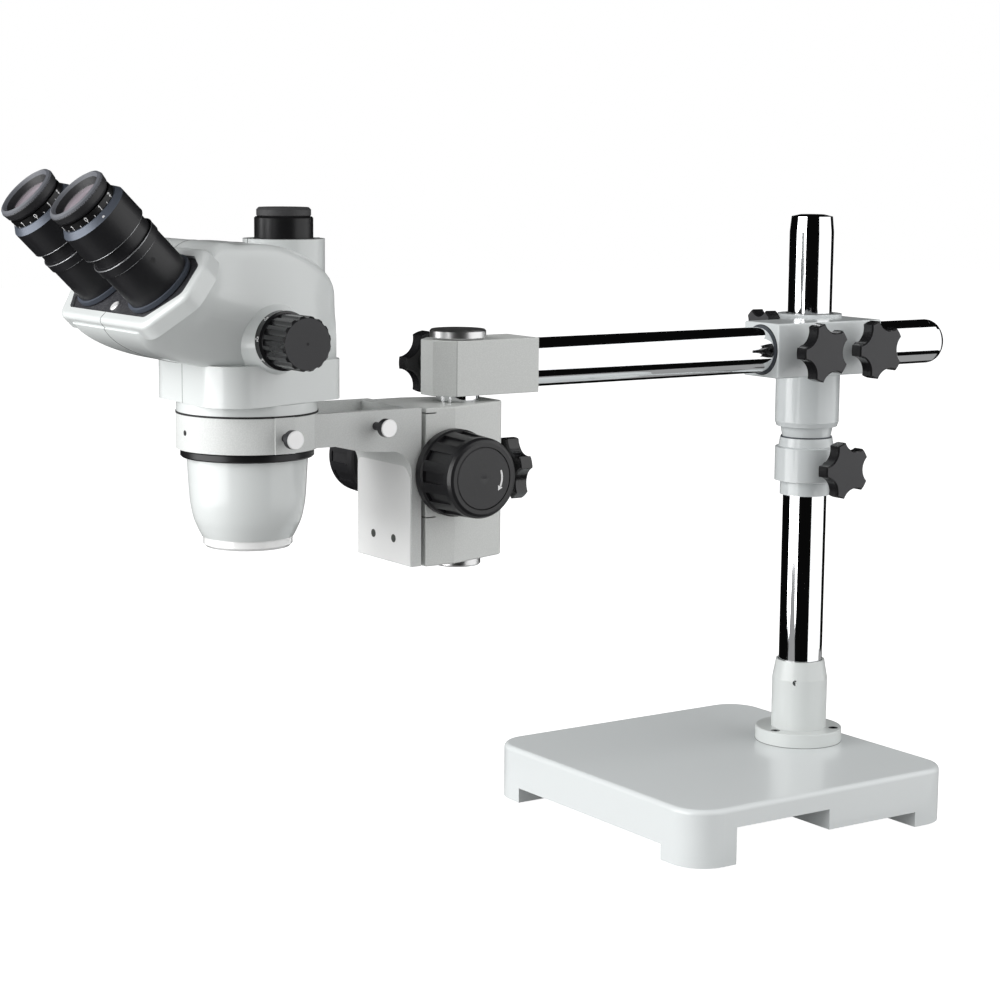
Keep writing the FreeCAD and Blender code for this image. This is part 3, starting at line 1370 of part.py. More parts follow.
def make_head():
    """Hollow head in two shells that meet on the centre plane, with its eyepiece plate."""
    names = list(HEAD_SECTIONS)
    outer = lofted("head_loft", names, 0.0)
    inner = lofted("head_cavity", names, SIZES["head_wall"])
    rim_height = S.bezel_depth + S.bezel_rise
    rim = plate_slab("head_bezel", S.bezel_width, -S.bezel_depth, rim_height)
    crest = SIZES["bezel_rise"]
    rim.Tip = soften(rim, "head_bezel_round", S.bezel_round,
                     lambda edge: at_height(edge, crest))
    skirt_bottom = S.barrel_top + S.head_seat
    skirt = new_body("head_skirt_body")
    outline = sketch_on(skirt, "skirt_outline", "XY_Plane", skirt_bottom)
    front = XO - S.skirt_front
    rear = XO + S.skirt_rear
    draw_outline(outline, [
        (front, YC - S.skirt_front_half_width), (rear, YC - S.skirt_rear_half_width),
        (rear, YC + S.skirt_rear_half_width), (front, YC + S.skirt_front_half_width)])
    skirt.Tip = pad(skirt, "skirt_pad", outline, S.skirt_top - skirt_bottom)
    middle = XO.value
    skirt.Tip = soften(skirt, "skirt_front_round", S.skirt_front_corner,
                       lambda edge: is_upright(edge) and edge.BoundBox.XMin < middle)
    skirt.Tip = soften(skirt, "skirt_rear_round", S.skirt_rear_corner,
                       lambda edge: is_upright(edge) and edge.BoundBox.XMin > middle
                       and edge.BoundBox.ZLength > 1.0)
    column = cylinder("head_column", S.column_radius, S.column_top - S.skirt_top + 4.0,
                      (XO + S.column_offset, YC, S.skirt_top - 4.0))
    bosses = []
    for index, (side, turn) in enumerate(((-1, TO_NEAR), (1, TO_FAR))):
        bosses.append(cone("zoom_boss_%d" % index, S.zoom_boss_radius, S.zoom_dial_radius,
                           S.zoom_boss_face - S.zoom_boss_root,
                           (XO - S.zoom_offset, YC + side * S.zoom_boss_root, S.zoom_height), turn))
    solid = fused("head_solid", [outer, rim, skirt, column] + bosses)
    reach = S.skirt_front_half_width
    tools = [
        inner,
        plate_slab("plate_recess", S.head_seat, -S.plate_thickness - S.head_seat,
                   S.plate_thickness + S.bezel_rise * 3.0),
        plate_slab("plate_opening", -S.plate_ledge, -S.head_wall * 3.0, S.head_wall * 3.0),
        cylinder("head_light_path", S.barrel_bore, S.skirt_top - S.barrel_top + S.head_wall * 2.0,
                 (XO, YC, S.barrel_top)),
        cylinder("port_light_path", S.port_bore, S.skirt_top,
                 (XO + S.column_offset, YC, S.zoom_height + S.head_wall)),
        cylinder("zoom_shaft_hole", S.zoom_shaft_radius + S.running_gap, reach * 2.0,
                 (XO - S.zoom_offset, YC + reach, S.zoom_height), TO_NEAR),
    ]
    hollow = cut("head_hollow", solid, tools)
    length = S.plate_low_x * 3.0
    for name, start in (("head_shell_near", YC - length), ("head_shell_far", YC)):
        half = block(name + "_half", (length * 2.0, length, length * 2.0),
                     (XO - length, start, S.nose_bottom))
        keep(common(name + "_common", hollow, half), name)
    plate = plate_slab("eyepiece_plate_body", 0.0, -S.plate_thickness, S.plate_thickness)
    holes = []
    for index, side in enumerate((-1, 1)):
        spot = tube_frame(side, -S.plate_thickness - 1.0, -S.pivot_in, -S.pivot_down)
        holes.append(cylinder("pivot_hole_%d" % index, S.pivot_radius + S.running_gap,
                              S.plate_thickness + 2.0, spot, TO_EYES))
    holes.append(cylinder("plate_screw_hole", S.cap_screw_shank + S.running_gap,
                          S.plate_thickness + 2.0, plate_screw_spot(-1.0 - S.plate_thickness),
                          TO_EYES))
    holes.append(cylinder("plate_screw_sink", S.cap_screw_radius + S.running_gap,
                          S.plate_thickness, plate_screw_spot(-1.2), TO_EYES))
    keep(cut("eyepiece_plate_cut", plate, holes), "eyepiece_plate")
    screw = turned("plate_screw_body", [
        (0.0, -S.plate_thickness - 3.0), (S.cap_screw_shank, -S.plate_thickness - 3.0),
        (S.cap_screw_shank, -1.2), (S.cap_screw_radius, -1.2), (S.cap_screw_radius, 0.4),
        (S.cap_screw_radius - 0.6, 0.9), (0.0, 1.0)])
    place(screw, plate_screw_spot(0.0), TO_EYES)
    keep(screw, "plate_screw")
    port = turned("port_ring_body", [
        (S.port_bore, 0.0), (S.port_radius, 0.0), (S.port_radius, S.port_height - 0.8),
        (S.port_radius - 0.8, S.port_height), (S.port_bore, S.port_height)])
    place(port, (XO + S.column_offset, YC, S.column_top))
    keep(port, "port_ring")
    cap = turned("port_cap_body", [
        (0.0, -6.0), (S.port_bore - S.running_gap, -6.0), (S.port_bore - S.running_gap, 0.2),
        (S.port_cap_radius - 0.6, 0.2), (S.port_cap_radius, 0.8),
        (S.port_cap_radius, S.port_cap_height - 1.4), (S.port_cap_radius - 1.4, S.port_cap_height),
        (0.0, S.port_cap_height)])
    place(cap, (XO + S.column_offset, YC, S.column_top + S.port_height))
    keep(cap, "port_cap")


def plate_screw_spot(out):
    """Return the point of the plate screw's axis at a height above the plate's face."""
    diagonal = math.sqrt(0.5)
    foot = plate_origin()
    along = S.plate_screw_rise * diagonal
    lift = as_size(out) * diagonal
    return (foot[0] + along - lift, YC, foot[2] + along + lift)


def make_eyepieces():
    """Eyetubes that swing on the plate, with eyepieces, dioptre rings, cups and lenses."""
    base = S.seat_gap + S.tube_flange_height
    tube_top = base + S.tube_length - 3.0
    body_low = tube_top + S.seat_gap
    for name, side in (("near", -1), ("far", 1)):
        tube = turned("eyetube_%s_body" % name, [
            (S.tube_bore, S.seat_gap), (S.tube_flange_radius - 0.6, S.seat_gap),
            (S.tube_flange_radius, S.seat_gap + 0.6), (S.tube_flange_radius, base),
            (S.tube_radius, base), (S.tube_radius, tube_top - S.tube_collar_height),
            (S.tube_collar_radius, tube_top - S.tube_collar_height),
            (S.tube_collar_radius, tube_top - 0.6), (S.tube_collar_radius - 0.6, tube_top),
            (S.tube_bore, tube_top)])
        place(tube, tube_frame(side), TO_EYES)
        pivot = tube_frame(side, -(S.pivot_length - S.seat_gap), -S.pivot_in, -S.pivot_down)
        spigot = cylinder("eyetube_%s_spigot" % name, S.pivot_radius,
                          S.pivot_length + S.tube_flange_height * 0.5, pivot, TO_EYES)
        whole = fused("eyetube_%s_whole" % name, [tube, spigot])
        light = cylinder("eyetube_%s_light" % name, S.pivot_radius - 3.0,
                         S.pivot_length * 2.0,
                         tube_frame(side, -S.pivot_length - 2.0, -S.pivot_in, -S.pivot_down),
                         TO_EYES)
        keep(cut("eyetube_%s_cut" % name, whole, [light]), "eyetube_" + name)
        step = body_low + S.eyepiece_step_height
        body = step + S.eyepiece_body_height
        bevel = body + S.eyepiece_bevel_height
        barrel = S.tube_bore - S.running_gap
        bore = S.eyepiece_bore
        collar = S.dioptre_radius - 3.4
        band = bevel + S.seat_gap
        band_top = band + S.dioptre_height
        keep_at(turned("eyepiece_%s_body" % name, [
            (bore, body_low - S.eyepiece_barrel_length),
            (barrel, body_low - S.eyepiece_barrel_length), (barrel, body_low),
            (S.eyepiece_step_radius, body_low), (S.eyepiece_step_radius, step - 0.6),
            (S.eyepiece_radius, step), (S.eyepiece_radius, body),
            (S.eyepiece_bevel_radius, bevel), (collar, bevel), (collar, band_top), (bore, band_top)]),
            side, "eyepiece_" + name)
        keep_at(turned("dioptre_%s_body" % name, [
            (collar + S.running_gap, band), (S.dioptre_radius, band),
            (S.dioptre_radius, band_top), (collar + S.running_gap, band_top)]),
            side, "dioptre_ring_" + name)
        cup = band_top + S.seat_gap
        mouth = S.eyecup_mouth
        rim = S.eyecup_radius
        cup_top = cup + S.eyecup_height
        keep_at(turned("eyecup_%s_body" % name, [
            (bore, cup), (rim - 2.4, cup), (rim - 0.6, cup + 2.2), (rim, cup_top - 2.4),
            (rim - 0.7, cup_top - 0.7), (rim - 2.2, cup_top), (mouth + 1.0, cup_top - 0.6),
            (mouth, cup_top - 2.0), (bore + 1.0, cup + 3.0), (bore, cup + 2.6)]),
            side, "eyecup_" + name)
        lens_low = band_top - S.eye_lens_depth
        glass = lens("eye_lens_" + name, S.eye_lens_radius, S.eye_lens_thickness, S.lens_sag * 0.6,
                     tube_frame(side, lens_low), TO_EYES)
        keep(glass, "eye_lens_" + name)


def keep_at(body, side, name):
    """Put a turned piece on an eyepiece tube's axis and keep it."""
    place(body, tube_frame(side), TO_EYES)
    keep(body, name)


def make_zoom_drive():
    """Zoom shaft through the head, its two knobs, the lens carriage and its guides."""
    axis = (XO - S.zoom_offset, YC, S.zoom_height)
    face = S.zoom_knob_face
    half = face - S.zoom_shaft_seat
    shaft = cylinder("zoom_shaft_rod", S.zoom_shaft_radius, half * 2.0,
                     (axis[0], YC + half, S.zoom_height), TO_NEAR)
    keep(shaft, "zoom_shaft")
    start = S.zoom_boss_face + S.seat_gap
    length = face - start
    bore = S.zoom_shaft_radius + S.running_gap
    seat = length - S.zoom_shaft_seat + S.running_gap
    for name, side, turn in (("near", -1, TO_NEAR), ("far", 1, TO_FAR)):
        knob = turned("zoom_knob_%s_body" % name, [
            (bore, 0.0), (S.zoom_dial_radius, 0.0), (S.zoom_dial_radius, S.zoom_dial_width),
            (S.zoom_knob_radius, S.zoom_dial_width + 0.8), (S.zoom_knob_radius, length - 1.2),
            (S.zoom_knob_radius - 1.2, length), (S.zoom_hole_radius, length),
            (S.zoom_hole_radius, length - S.zoom_hole_depth), (0.0, length - S.zoom_hole_depth),
            (0.0, seat), (bore, seat)])
        scallop = sketch_on(knob, "zoom_scallop_%s" % name, "XY_Plane", S.zoom_dial_width + 1.4)
        draw_circle(scallop, (S.zoom_knob_radius + S.zoom_scallop_radius * 0.55, 0.0),
                    S.zoom_scallop_radius)
        bite = pocket(knob, "zoom_scallop_cut_%s" % name, scallop, length, True)
        knob.Tip = bite
        repeat_round(knob, "zoom_scallops_%s" % name, [bite], S.zoom_scallops)
        place(knob, (axis[0], YC + side * start, S.zoom_height), turn)
        keep(knob, "zoom_knob_" + name)
    carriage = turned("zoom_carriage_body", [
        (S.carriage_aperture, 0.0), (S.carriage_radius, 0.0),
        (S.carriage_radius, S.carriage_thickness), (S.carriage_aperture, S.carriage_thickness)])
    place(carriage, (XO, YC, S.carriage_bottom))
    tools = []
    rods = []
    for index, side in enumerate((-1, 1)):
        along = YC + side * S.guide_offset
        tools.append(cylinder("carriage_bore_%d" % index, S.guide_radius + S.running_gap,
                              S.carriage_thickness + 2.0, (XO, along, S.carriage_bottom - 1.0)))
        rods.append(cylinder("guide_rod_%d" % index, S.guide_radius, S.barrel_top - S.guide_bottom,
                             (XO, along, S.guide_bottom)))
    keep(cut("zoom_carriage_cut", carriage, tools), "zoom_lens_carriage")
    keep(group("zoom_guide_rods", rods), "zoom_guides")


make_base()
make_post()
make_collar()
make_cross_block()
make_arm()
make_focus_post()
make_focus_unit()
make_bracket()
make_barrel()
make_head()
make_eyepieces()
make_zoom_drive()
doc.recompute()

for obj in doc.Objects:
    if "Invalid" in obj.State or "Error" in obj.State:
        raise ValueError("not built: " + obj.Name)

os.makedirs("parts", exist_ok=True)
for name, obj in NODES.items():
    shape = obj.Shape
    if shape.isNull() or not shape.isValid():
        raise ValueError("no valid shape: " + name)
    shape.exportStep("parts/" + name + ".step")
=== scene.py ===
"""Looks of a stereo zoom microscope on a single-arm boom stand.

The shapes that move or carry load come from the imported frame. This script gives them
their finishes, adds the fine markings and small trim, and sets the light and the camera.
"""

import logging
import math
from dataclasses import dataclass, field
from enum import Enum
from typing import Callable, Sequence

import bmesh
import bpy
from mathutils import Matrix, Vector


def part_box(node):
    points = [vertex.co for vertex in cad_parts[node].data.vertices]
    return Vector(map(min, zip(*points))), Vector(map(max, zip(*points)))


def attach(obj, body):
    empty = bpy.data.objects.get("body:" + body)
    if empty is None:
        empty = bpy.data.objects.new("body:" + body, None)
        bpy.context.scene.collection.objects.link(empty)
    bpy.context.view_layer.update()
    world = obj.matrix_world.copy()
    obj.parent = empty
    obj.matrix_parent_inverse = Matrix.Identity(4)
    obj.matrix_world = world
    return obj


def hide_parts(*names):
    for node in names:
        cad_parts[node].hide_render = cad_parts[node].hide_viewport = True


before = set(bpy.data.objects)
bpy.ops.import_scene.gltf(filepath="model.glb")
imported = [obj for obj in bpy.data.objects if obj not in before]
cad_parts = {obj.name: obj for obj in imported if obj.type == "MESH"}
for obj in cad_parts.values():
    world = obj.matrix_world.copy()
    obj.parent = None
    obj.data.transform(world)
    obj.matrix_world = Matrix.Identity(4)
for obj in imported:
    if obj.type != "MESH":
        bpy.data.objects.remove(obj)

log = logging.getLogger("microscope")

Flat = tuple[float, float]
Triple = tuple[float, float, float]
Place = Callable[[float, float, float], Vector]
Faces = list[tuple[int, ...]]

SHIFT = Vector((0.266862, 0.0, 0.0))
MM = 0.001
BOOM_Y = -36.0
HEAD_X = -484.0
UP = (0.0, 0.0, 1.0)
NEAR = (0.0, -1.0, 0.0)
RIGHT = (1.0, 0.0, 0.0)
COAT_ROUGH = 0.08
SMEAR_RANGE = (0.3, 0.7)
WHITE = (1.0, 1.0, 1.0, 1.0)


def row(x: float, y: float, z: float) -> Vector:
    """Turn a point measured from the foot of the post into the frame.

    Args:
        x: Millimetres along the boom.
        y: Millimetres away from the near side.
        z: Millimetres above the floor.

    Returns:
        The point in the frame, in metres.
    """
    return Vector((x * MM, y * MM, z * MM)) + SHIFT


class Look(Enum):
    """Kinds of surface that a finish can have."""

    ENAMEL = "enamel"
    TEXTURED = "textured"
    CHROME = "chrome"
    TURNED = "turned"
    PLASTIC = "plastic"
    RUBBER = "rubber"
    INK = "ink"


def fresh(name: str) -> tuple[bpy.types.Material, bpy.types.Node]:
    """Start a material.

    Args:
        name: The material's name.

    Returns:
        The material and its surface shader.
    """
    material = bpy.data.materials.new(name)
    material.use_nodes = True
    return material, material.node_tree.nodes["Principled BSDF"]


def fill(target: bpy.types.Node, values: dict[str | int, object]) -> None:
    """Set several inputs of a shader node.

    Args:
        target: The node.
        values: The inputs' values by name or number.
    """
    for key, value in values.items():
        target.inputs[key].default_value = value


def wire(start: bpy.types.Node, out: str | int, end: bpy.types.Node,
         into: str | int) -> None:
    """Link an output of one shader node to an input of another.

    Args:
        start: The first node.
        out: Its output, by name or number.
        end: The second node.
        into: Its input, by name or number.
    """
    start.id_data.links.new(start.outputs[out], end.inputs[into])


# Shader effects that several finishes share


@dataclass
class Effect:
    """A shader node group under construction.

    Attributes:
        name: The group's name.
        takes: Its inputs' starting values by name.
        gives: Its outputs' names.
        tree: The group itself.
        entry: The node that its inputs come from.
        exit: The node that its outputs go to.
    """

    name: str
    takes: dict[str, float | Triple]
    gives: tuple[str, ...]
    tree: bpy.types.NodeTree = field(init=False)
    entry: bpy.types.Node = field(init=False)
    exit: bpy.types.Node = field(init=False)

    def __post_init__(self) -> None:
        """Start the group with its entry and exit nodes and its sockets."""
        self.tree = bpy.data.node_groups.new(self.name, "ShaderNodeTree")
        self.entry = self.tree.nodes.new("NodeGroupInput")
        self.exit = self.tree.nodes.new("NodeGroupOutput")
        sockets = self.tree.interface
        for name, value in self.takes.items():
            kind = "NodeSocketFloat" if isinstance(value, float) else "NodeSocketVector"
            socket = sockets.new_socket(name, in_out="INPUT", socket_type=kind)
            socket.default_value = value
        for name in self.gives:
            sockets.new_socket(name, in_out="OUTPUT", socket_type="NodeSocketFloat")

    def add(self, kind: str, **values: object) -> bpy.types.Node:
        """Add a node and set its properties.

        Args:
            kind: The node type.
            **values: Properties by name.

        Returns:
            The new node.
        """
        node = self.tree.nodes.new(kind)
        for key, value in values.items():
            setattr(node, key, value)
        return node


def grain_effect() -> bpy.types.NodeTree:
    """Build the fine paint grain: height for a bump, and a slow mask for gloss.

    Returns:
        The node group.
    """
    effect = Effect("paint_grain", {"Grain Size": 900.0, "Smear Size": 22.0},
                    ("Height", "Smear"))
    place = effect.add("ShaderNodeTexCoord")
    fine = effect.add("ShaderNodeTexNoise")
    fill(fine, {"Detail": 3.0, "Roughness": 0.6})
    slow = effect.add("ShaderNodeTexNoise")
    fill(slow, {"Detail": 4.0})
    wire(place, "Object", fine, "Vector")
    wire(place, "Object", slow, "Vector")
    wire(effect.entry, "Grain Size", fine, "Scale")
    wire(effect.entry, "Smear Size", slow, "Scale")
    wire(fine, "Fac", effect.exit, "Height")
    wire(slow, "Fac", effect.exit, "Smear")
    return effect.tree


def speck_effect() -> bpy.types.NodeTree:
    """Build the moulded grain of plastic and the crackle of textured paint.

    Returns:
        The node group.
    """
    effect = Effect("moulded_grain", {"Cell Size": 1400.0}, ("Height", "Speck"))
    place = effect.add("ShaderNodeTexCoord")
    cells = effect.add("ShaderNodeTexVoronoi", feature="SMOOTH_F1")
    wire(place, "Object", cells, "Vector")
    wire(effect.entry, "Cell Size", cells, "Scale")
    wire(cells, "Distance", effect.exit, "Height")
    speck = effect.add("ShaderNodeMapRange")
    fill(speck, {"From Min": 0.25, "From Max": 0.6})
    wire(cells, "Distance", speck, "Value")
    wire(speck, "Result", effect.exit, "Speck")
    return effect.tree


def lathe_effect() -> bpy.types.NodeTree:
    """Build fine turning lines that run across one direction.

    Returns:
        The node group.
    """
    effect = Effect("turning_lines", {"Stretch": (1.0, 1.0, 60.0), "Line Size": 60.0},
                    ("Height",))
    place = effect.add("ShaderNodeTexCoord")
    stretch = effect.add("ShaderNodeVectorMath", operation="MULTIPLY")
    lines = effect.add("ShaderNodeTexNoise")
    fill(lines, {"Detail": 5.0})
    wire(place, "Object", stretch, 0)
    wire(effect.entry, "Stretch", stretch, 1)
    wire(stretch, "Vector", lines, "Vector")
    wire(effect.entry, "Line Size", lines, "Scale")
    wire(lines, "Fac", effect.exit, "Height")
    return effect.tree


@dataclass(frozen=True)
class Finish:
    """One surface finish.

    Attributes:
        name: The material's name.
        look: The kind of surface.
        color: Base colour, linear.
        rough: Mean roughness.
        metal: Metallic share.
        coat: Clear coat weight.
        grain: Bump distance in metres.
        size: Grain cells per metre.
        smear: How far slow smears change the roughness.
        stretch: Scale of turning lines along X, Y and Z.
        fleck: How far the specks lighten a textured finish.
    """

    name: str
    look: Look
    color: Triple
    rough: float
    metal: float = 0.0
    coat: float = 0.0
    grain: float = 0.000004
    size: float = 900.0
    smear: float = 0.03
    stretch: Triple = (1.0, 1.0, 60.0)
    fleck: float = 0.0

    def build(self, effects: dict[str, bpy.types.NodeTree]) -> bpy.types.Material:
        """Make the material.

        Args:
            effects: The shared node groups by name.

        Returns:
            The material.
        """
        material, shader = fresh(self.name)
        nodes = material.node_tree.nodes
        fill(shader, {"Base Color": (*self.color, 1.0), "Roughness": self.rough,
                      "Metallic": self.metal, "Coat Weight": self.coat,
                      "Coat Roughness": COAT_ROUGH})
        grain = nodes.new("ShaderNodeGroup")
        grain.node_tree = effects["grain"]
        fill(grain, {"Grain Size": self.size})
        spread = nodes.new("ShaderNodeMapRange")
        fill(spread, {"From Min": SMEAR_RANGE[0], "From Max": SMEAR_RANGE[1],
                      "To Min": max(0.02, self.rough - self.smear),
                      "To Max": self.rough + self.smear})
        wire(grain, "Smear", spread, "Value")
        wire(spread, "Result", shader, "Roughness")
        bump = nodes.new("ShaderNodeBump")
        fill(bump, {"Distance": self.grain})
        nodes.id_data.links.new(self.relief(nodes, grain, effects), bump.inputs["Height"])
        wire(bump, "Normal", shader, "Normal")
        return material

    def relief(self, nodes: bpy.types.Nodes, grain: bpy.types.Node,
               effects: dict[str, bpy.types.NodeTree]) -> bpy.types.NodeSocket:
        """Choose the relief that suits the look.

        Args:
            nodes: The material's nodes.
            grain: The paint grain group already in the material.
            effects: The shared node groups by name.

        Returns:
            The socket that gives the height.
        """
        if self.look in (Look.TEXTURED, Look.PLASTIC, Look.RUBBER):
            cells = nodes.new("ShaderNodeGroup")
            cells.node_tree = effects["speck"]
            fill(cells, {"Cell Size": self.size})
            if self.fleck:
                self.mottle(nodes, cells)
            return cells.outputs["Height"]
        if self.look in (Look.CHROME, Look.TURNED):
            lines = nodes.new("ShaderNodeGroup")
            lines.node_tree = effects["lathe"]
            fill(lines, {"Stretch": self.stretch})
            return lines.outputs["Height"]
        return grain.outputs["Height"]

    def mottle(self, nodes: bpy.types.Nodes, cells: bpy.types.Node) -> None:
        """Lighten the paint on the specks of its texture.

        Args:
            nodes: The material's nodes.
            cells: The group that gives the specks.
        """
        shade = nodes.new("ShaderNodeMix")
        shade.data_type = "RGBA"
        lit = [min(0.9, part + self.fleck) for part in self.color]
        fill(shade, {6: (*self.color, 1.0), 7: (*lit, 1.0)})
        wire(cells, "Speck", shade, "Factor")
        wire(shade, 2, nodes["Principled BSDF"], "Base Color")


@dataclass(frozen=True)
class LensGlass:
    """Coated glass whose base colour paints a tinted reflection over a painted dark inside.

    Attributes:
        name: The material's name.
        tint: Colour of the coating's tint and of the painted reflection.
        deep: Painted dark of the view down the tube.
    """

    name: str
    tint: Triple
    deep: Triple

    def build(self, effects: dict[str, bpy.types.NodeTree]) -> bpy.types.Material:
        """Make the material.

        Args:
            effects: The shared node groups by name.

        Returns:
            The material.
        """
        material, shader = fresh(self.name)
        nodes = material.node_tree.nodes
        fill(shader, {"Roughness": 0.05, "Coat Weight": 1.0, "Coat Tint": (*self.tint, 1.0)})
        grain = nodes.new("ShaderNodeGroup")
        grain.node_tree = effects["grain"]
        fill(grain, {"Smear Size": 40.0})
        # Painted reflection: the base colour blends the painted dark inside with the reflection's
        # tint in slow blotches.
        shade = nodes.new("ShaderNodeMix")
        shade.data_type = "RGBA"
        fill(shade, {6: (*self.deep, 1.0), 7: (*self.tint, 1.0)})
        wire(grain, "Smear", shade, "Factor")
        wire(shade, 2, shader, "Base Color")
        return material


FINISHES = {
    "base": Finish("base_enamel", Look.ENAMEL, (0.72, 0.75, 0.752), 0.32, coat=0.2, grain=0.000008,
        size=700.0, smear=0.01),
    "flange": Finish("flange_enamel", Look.ENAMEL, (0.64, 0.665, 0.655), 0.32, coat=0.2,
        grain=0.000006, smear=0.01),
    "clamp": Finish("clamp_paint", Look.ENAMEL, (0.64, 0.67, 0.675), 0.24, coat=0.4,
        grain=0.000006, smear=0.01),
    "focus": Finish("focus_paint", Look.TEXTURED, (0.60, 0.615, 0.60), 0.42, grain=0.00003,
        size=1500.0, fleck=0.05),
    "bracket": Finish("bracket_paint", Look.TEXTURED, (0.575, 0.59, 0.58), 0.42, grain=0.00003,
        size=1500.0, fleck=0.05),
    "head": Finish("head_paint", Look.ENAMEL, (0.655, 0.68, 0.674), 0.3, coat=0.35, grain=0.000006,
        smear=0.015),
    # Pale enamel of the lens ring; on the bracket's front plate the same pale tone paints the
    # light falling on it.
    "gloss": Finish("pale_enamel_and_painted_light", Look.ENAMEL, (0.84, 0.845, 0.84), 0.2, coat=0.6,
        grain=0.000012),
    "chrome_post": Finish("post_chrome", Look.CHROME, (0.86, 0.87, 0.88), 0.045, 1.0,
        grain=0.0000006, smear=0.02),
    "chrome_arm": Finish("arm_chrome", Look.CHROME, (0.86, 0.87, 0.88), 0.05, 1.0, grain=0.0000006,
        smear=0.02, stretch=(60.0, 1.0, 1.0)),
    "steel": Finish("turned_steel", Look.TURNED, (0.62, 0.62, 0.625), 0.24, 1.0),
    "dark_steel": Finish("blackened_steel", Look.TURNED, (0.06, 0.06, 0.065), 0.35, 0.8,
        grain=0.000006),
    "disc_steel": Finish("brushed_steel", Look.TURNED, (0.72, 0.72, 0.72), 0.34, 1.0,
        grain=0.000005, stretch=(1.0, 1.0, 140.0)),
    "bright_steel": Finish("bright_steel", Look.TURNED, (0.92, 0.92, 0.92), 0.45, 0.55),
    "brass": Finish("turned_brass", Look.TURNED, (0.62, 0.45, 0.2), 0.3, 1.0),
    "knob": Finish("knob_plastic", Look.PLASTIC, (0.011, 0.011, 0.012), 0.26, coat=0.25,
        grain=0.00003, size=1300.0),
    "knob_matt": Finish("knob_matt_plastic", Look.PLASTIC, (0.046, 0.046, 0.049), 0.66,
        grain=0.00004, size=1500.0),
    "fluted": Finish("fluted_plastic", Look.PLASTIC, (0.012, 0.012, 0.0135), 0.42, coat=0.1,
        grain=0.00003, size=1600.0),
    "cap": Finish("cap_plastic", Look.PLASTIC, (0.04, 0.04, 0.042), 0.6, grain=0.00003,
        size=1800.0, fleck=0.004),
    "tube": Finish("tube_anodised", Look.TURNED, (0.013, 0.013, 0.015), 0.42, 0.1, coat=0.05),
    "bevel": Finish("bevel_anodised", Look.TURNED, (0.10, 0.115, 0.145), 0.4, 0.35),
    "edge": Finish("bared_edge", Look.TURNED, (0.62, 0.63, 0.65), 0.3, 0.9, grain=0.000002),
    "rubber": Finish("eyecup_rubber", Look.RUBBER, (0.022, 0.022, 0.024), 0.5, grain=0.00005,
        size=1600.0),
    "cup_rim": Finish("eyecup_rim", Look.RUBBER, (0.105, 0.11, 0.125), 0.55, grain=0.00003,
        size=1600.0),
    "foot": Finish("foot_rubber", Look.RUBBER, (0.03, 0.03, 0.03), 0.75, grain=0.00008),
    "plate": Finish("plate_grained", Look.TEXTURED, (0.022, 0.022, 0.026), 0.45, grain=0.0002,
        size=900.0, fleck=0.03),
    "ring": Finish("ring_anodised", Look.TURNED, (0.014, 0.014, 0.015), 0.32, 0.4),
    "ink": Finish("marking_white", Look.INK, (0.86, 0.86, 0.86), 0.5),
    "gap": Finish("gap_dark", Look.INK, (0.015, 0.015, 0.016), 0.7),
    "plug": Finish("hole_plug", Look.TURNED, (0.06, 0.065, 0.06), 0.5, 0.3),
    "soft_gap": Finish("gap_grey", Look.INK, (0.12, 0.125, 0.125), 0.7),
    "liner": Finish("liner_plastic", Look.PLASTIC, (0.06, 0.068, 0.08), 0.45, grain=0.00002),
    "carriage": Finish("carriage_metal", Look.TURNED, (0.4, 0.4, 0.41), 0.4, 1.0, grain=0.000006),
}
GLASSES = {
    "glass": LensGlass("coated_glass", (0.70, 0.66, 0.69), (0.26, 0.235, 0.25)),
}


@dataclass
class Workshop:
    """Keeps the effects and the finished materials.

    Attributes:
        effects: Shared node groups.
        materials: Finished materials by short name.
    """

    effects: dict[str, bpy.types.NodeTree] = field(default_factory=dict)
    materials: dict[str, bpy.types.Material] = field(default_factory=dict)

    def __post_init__(self) -> None:
        """Build every effect and material once."""
        self.effects = {"grain": grain_effect(), "speck": speck_effect(),
                        "lathe": lathe_effect()}
        for key, finish in {**FINISHES, **GLASSES}.items():
            self.materials[key] = finish.build(self.effects)

    def dress(self, obj: bpy.types.Object, key: str, angle: float = 30.0) -> None:
        """Give a whole object one finish and smooth shading up to an angle.

        Args:
            obj: The object.
            key: The finish.
            angle: Edges sharper than this, in degrees, stay sharp.
        """
        obj.data.materials.clear()
        obj.data.materials.append(self.materials[key])
        smooth(obj, angle)

    def patch(self, obj: bpy.types.Object, key: str,
              wanted: Callable[[Vector, Vector], bool]) -> None:
        """Give the faces that a test picks a second finish.

        Args:
            obj: The object.
            key: The finish for those faces.
            wanted: Test of a face's middle and normal.
        """
        obj.data.materials.append(self.materials[key])
        index = len(obj.data.materials) - 1
        for face in obj.data.polygons:
            if wanted(face.center, face.normal):
                face.material_index = index


def smooth(obj: bpy.types.Object, angle: float) -> None:
    """Shade smooth and mark edges over an angle as sharp.

    Args:
        obj: The object.
        angle: The angle in degrees.
    """
    mesh = obj.data
    work = bmesh.new()
    work.from_mesh(mesh)
    limit = math.radians(angle)
    for face in work.faces:
        face.smooth = True
    for edge in work.edges:
        if len(edge.link_faces) == 2:
            edge.smooth = edge.calc_face_angle(0.0) < limit
        else:
            edge.smooth = False
    work.to_mesh(mesh)
    work.free()


def node(name: str) -> bpy.types.Object:
    """Return a piece of the frame.

    Args:
        name: The node's name.

    Returns:
        Its object.
    """
    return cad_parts[name]


# Markings and small trim


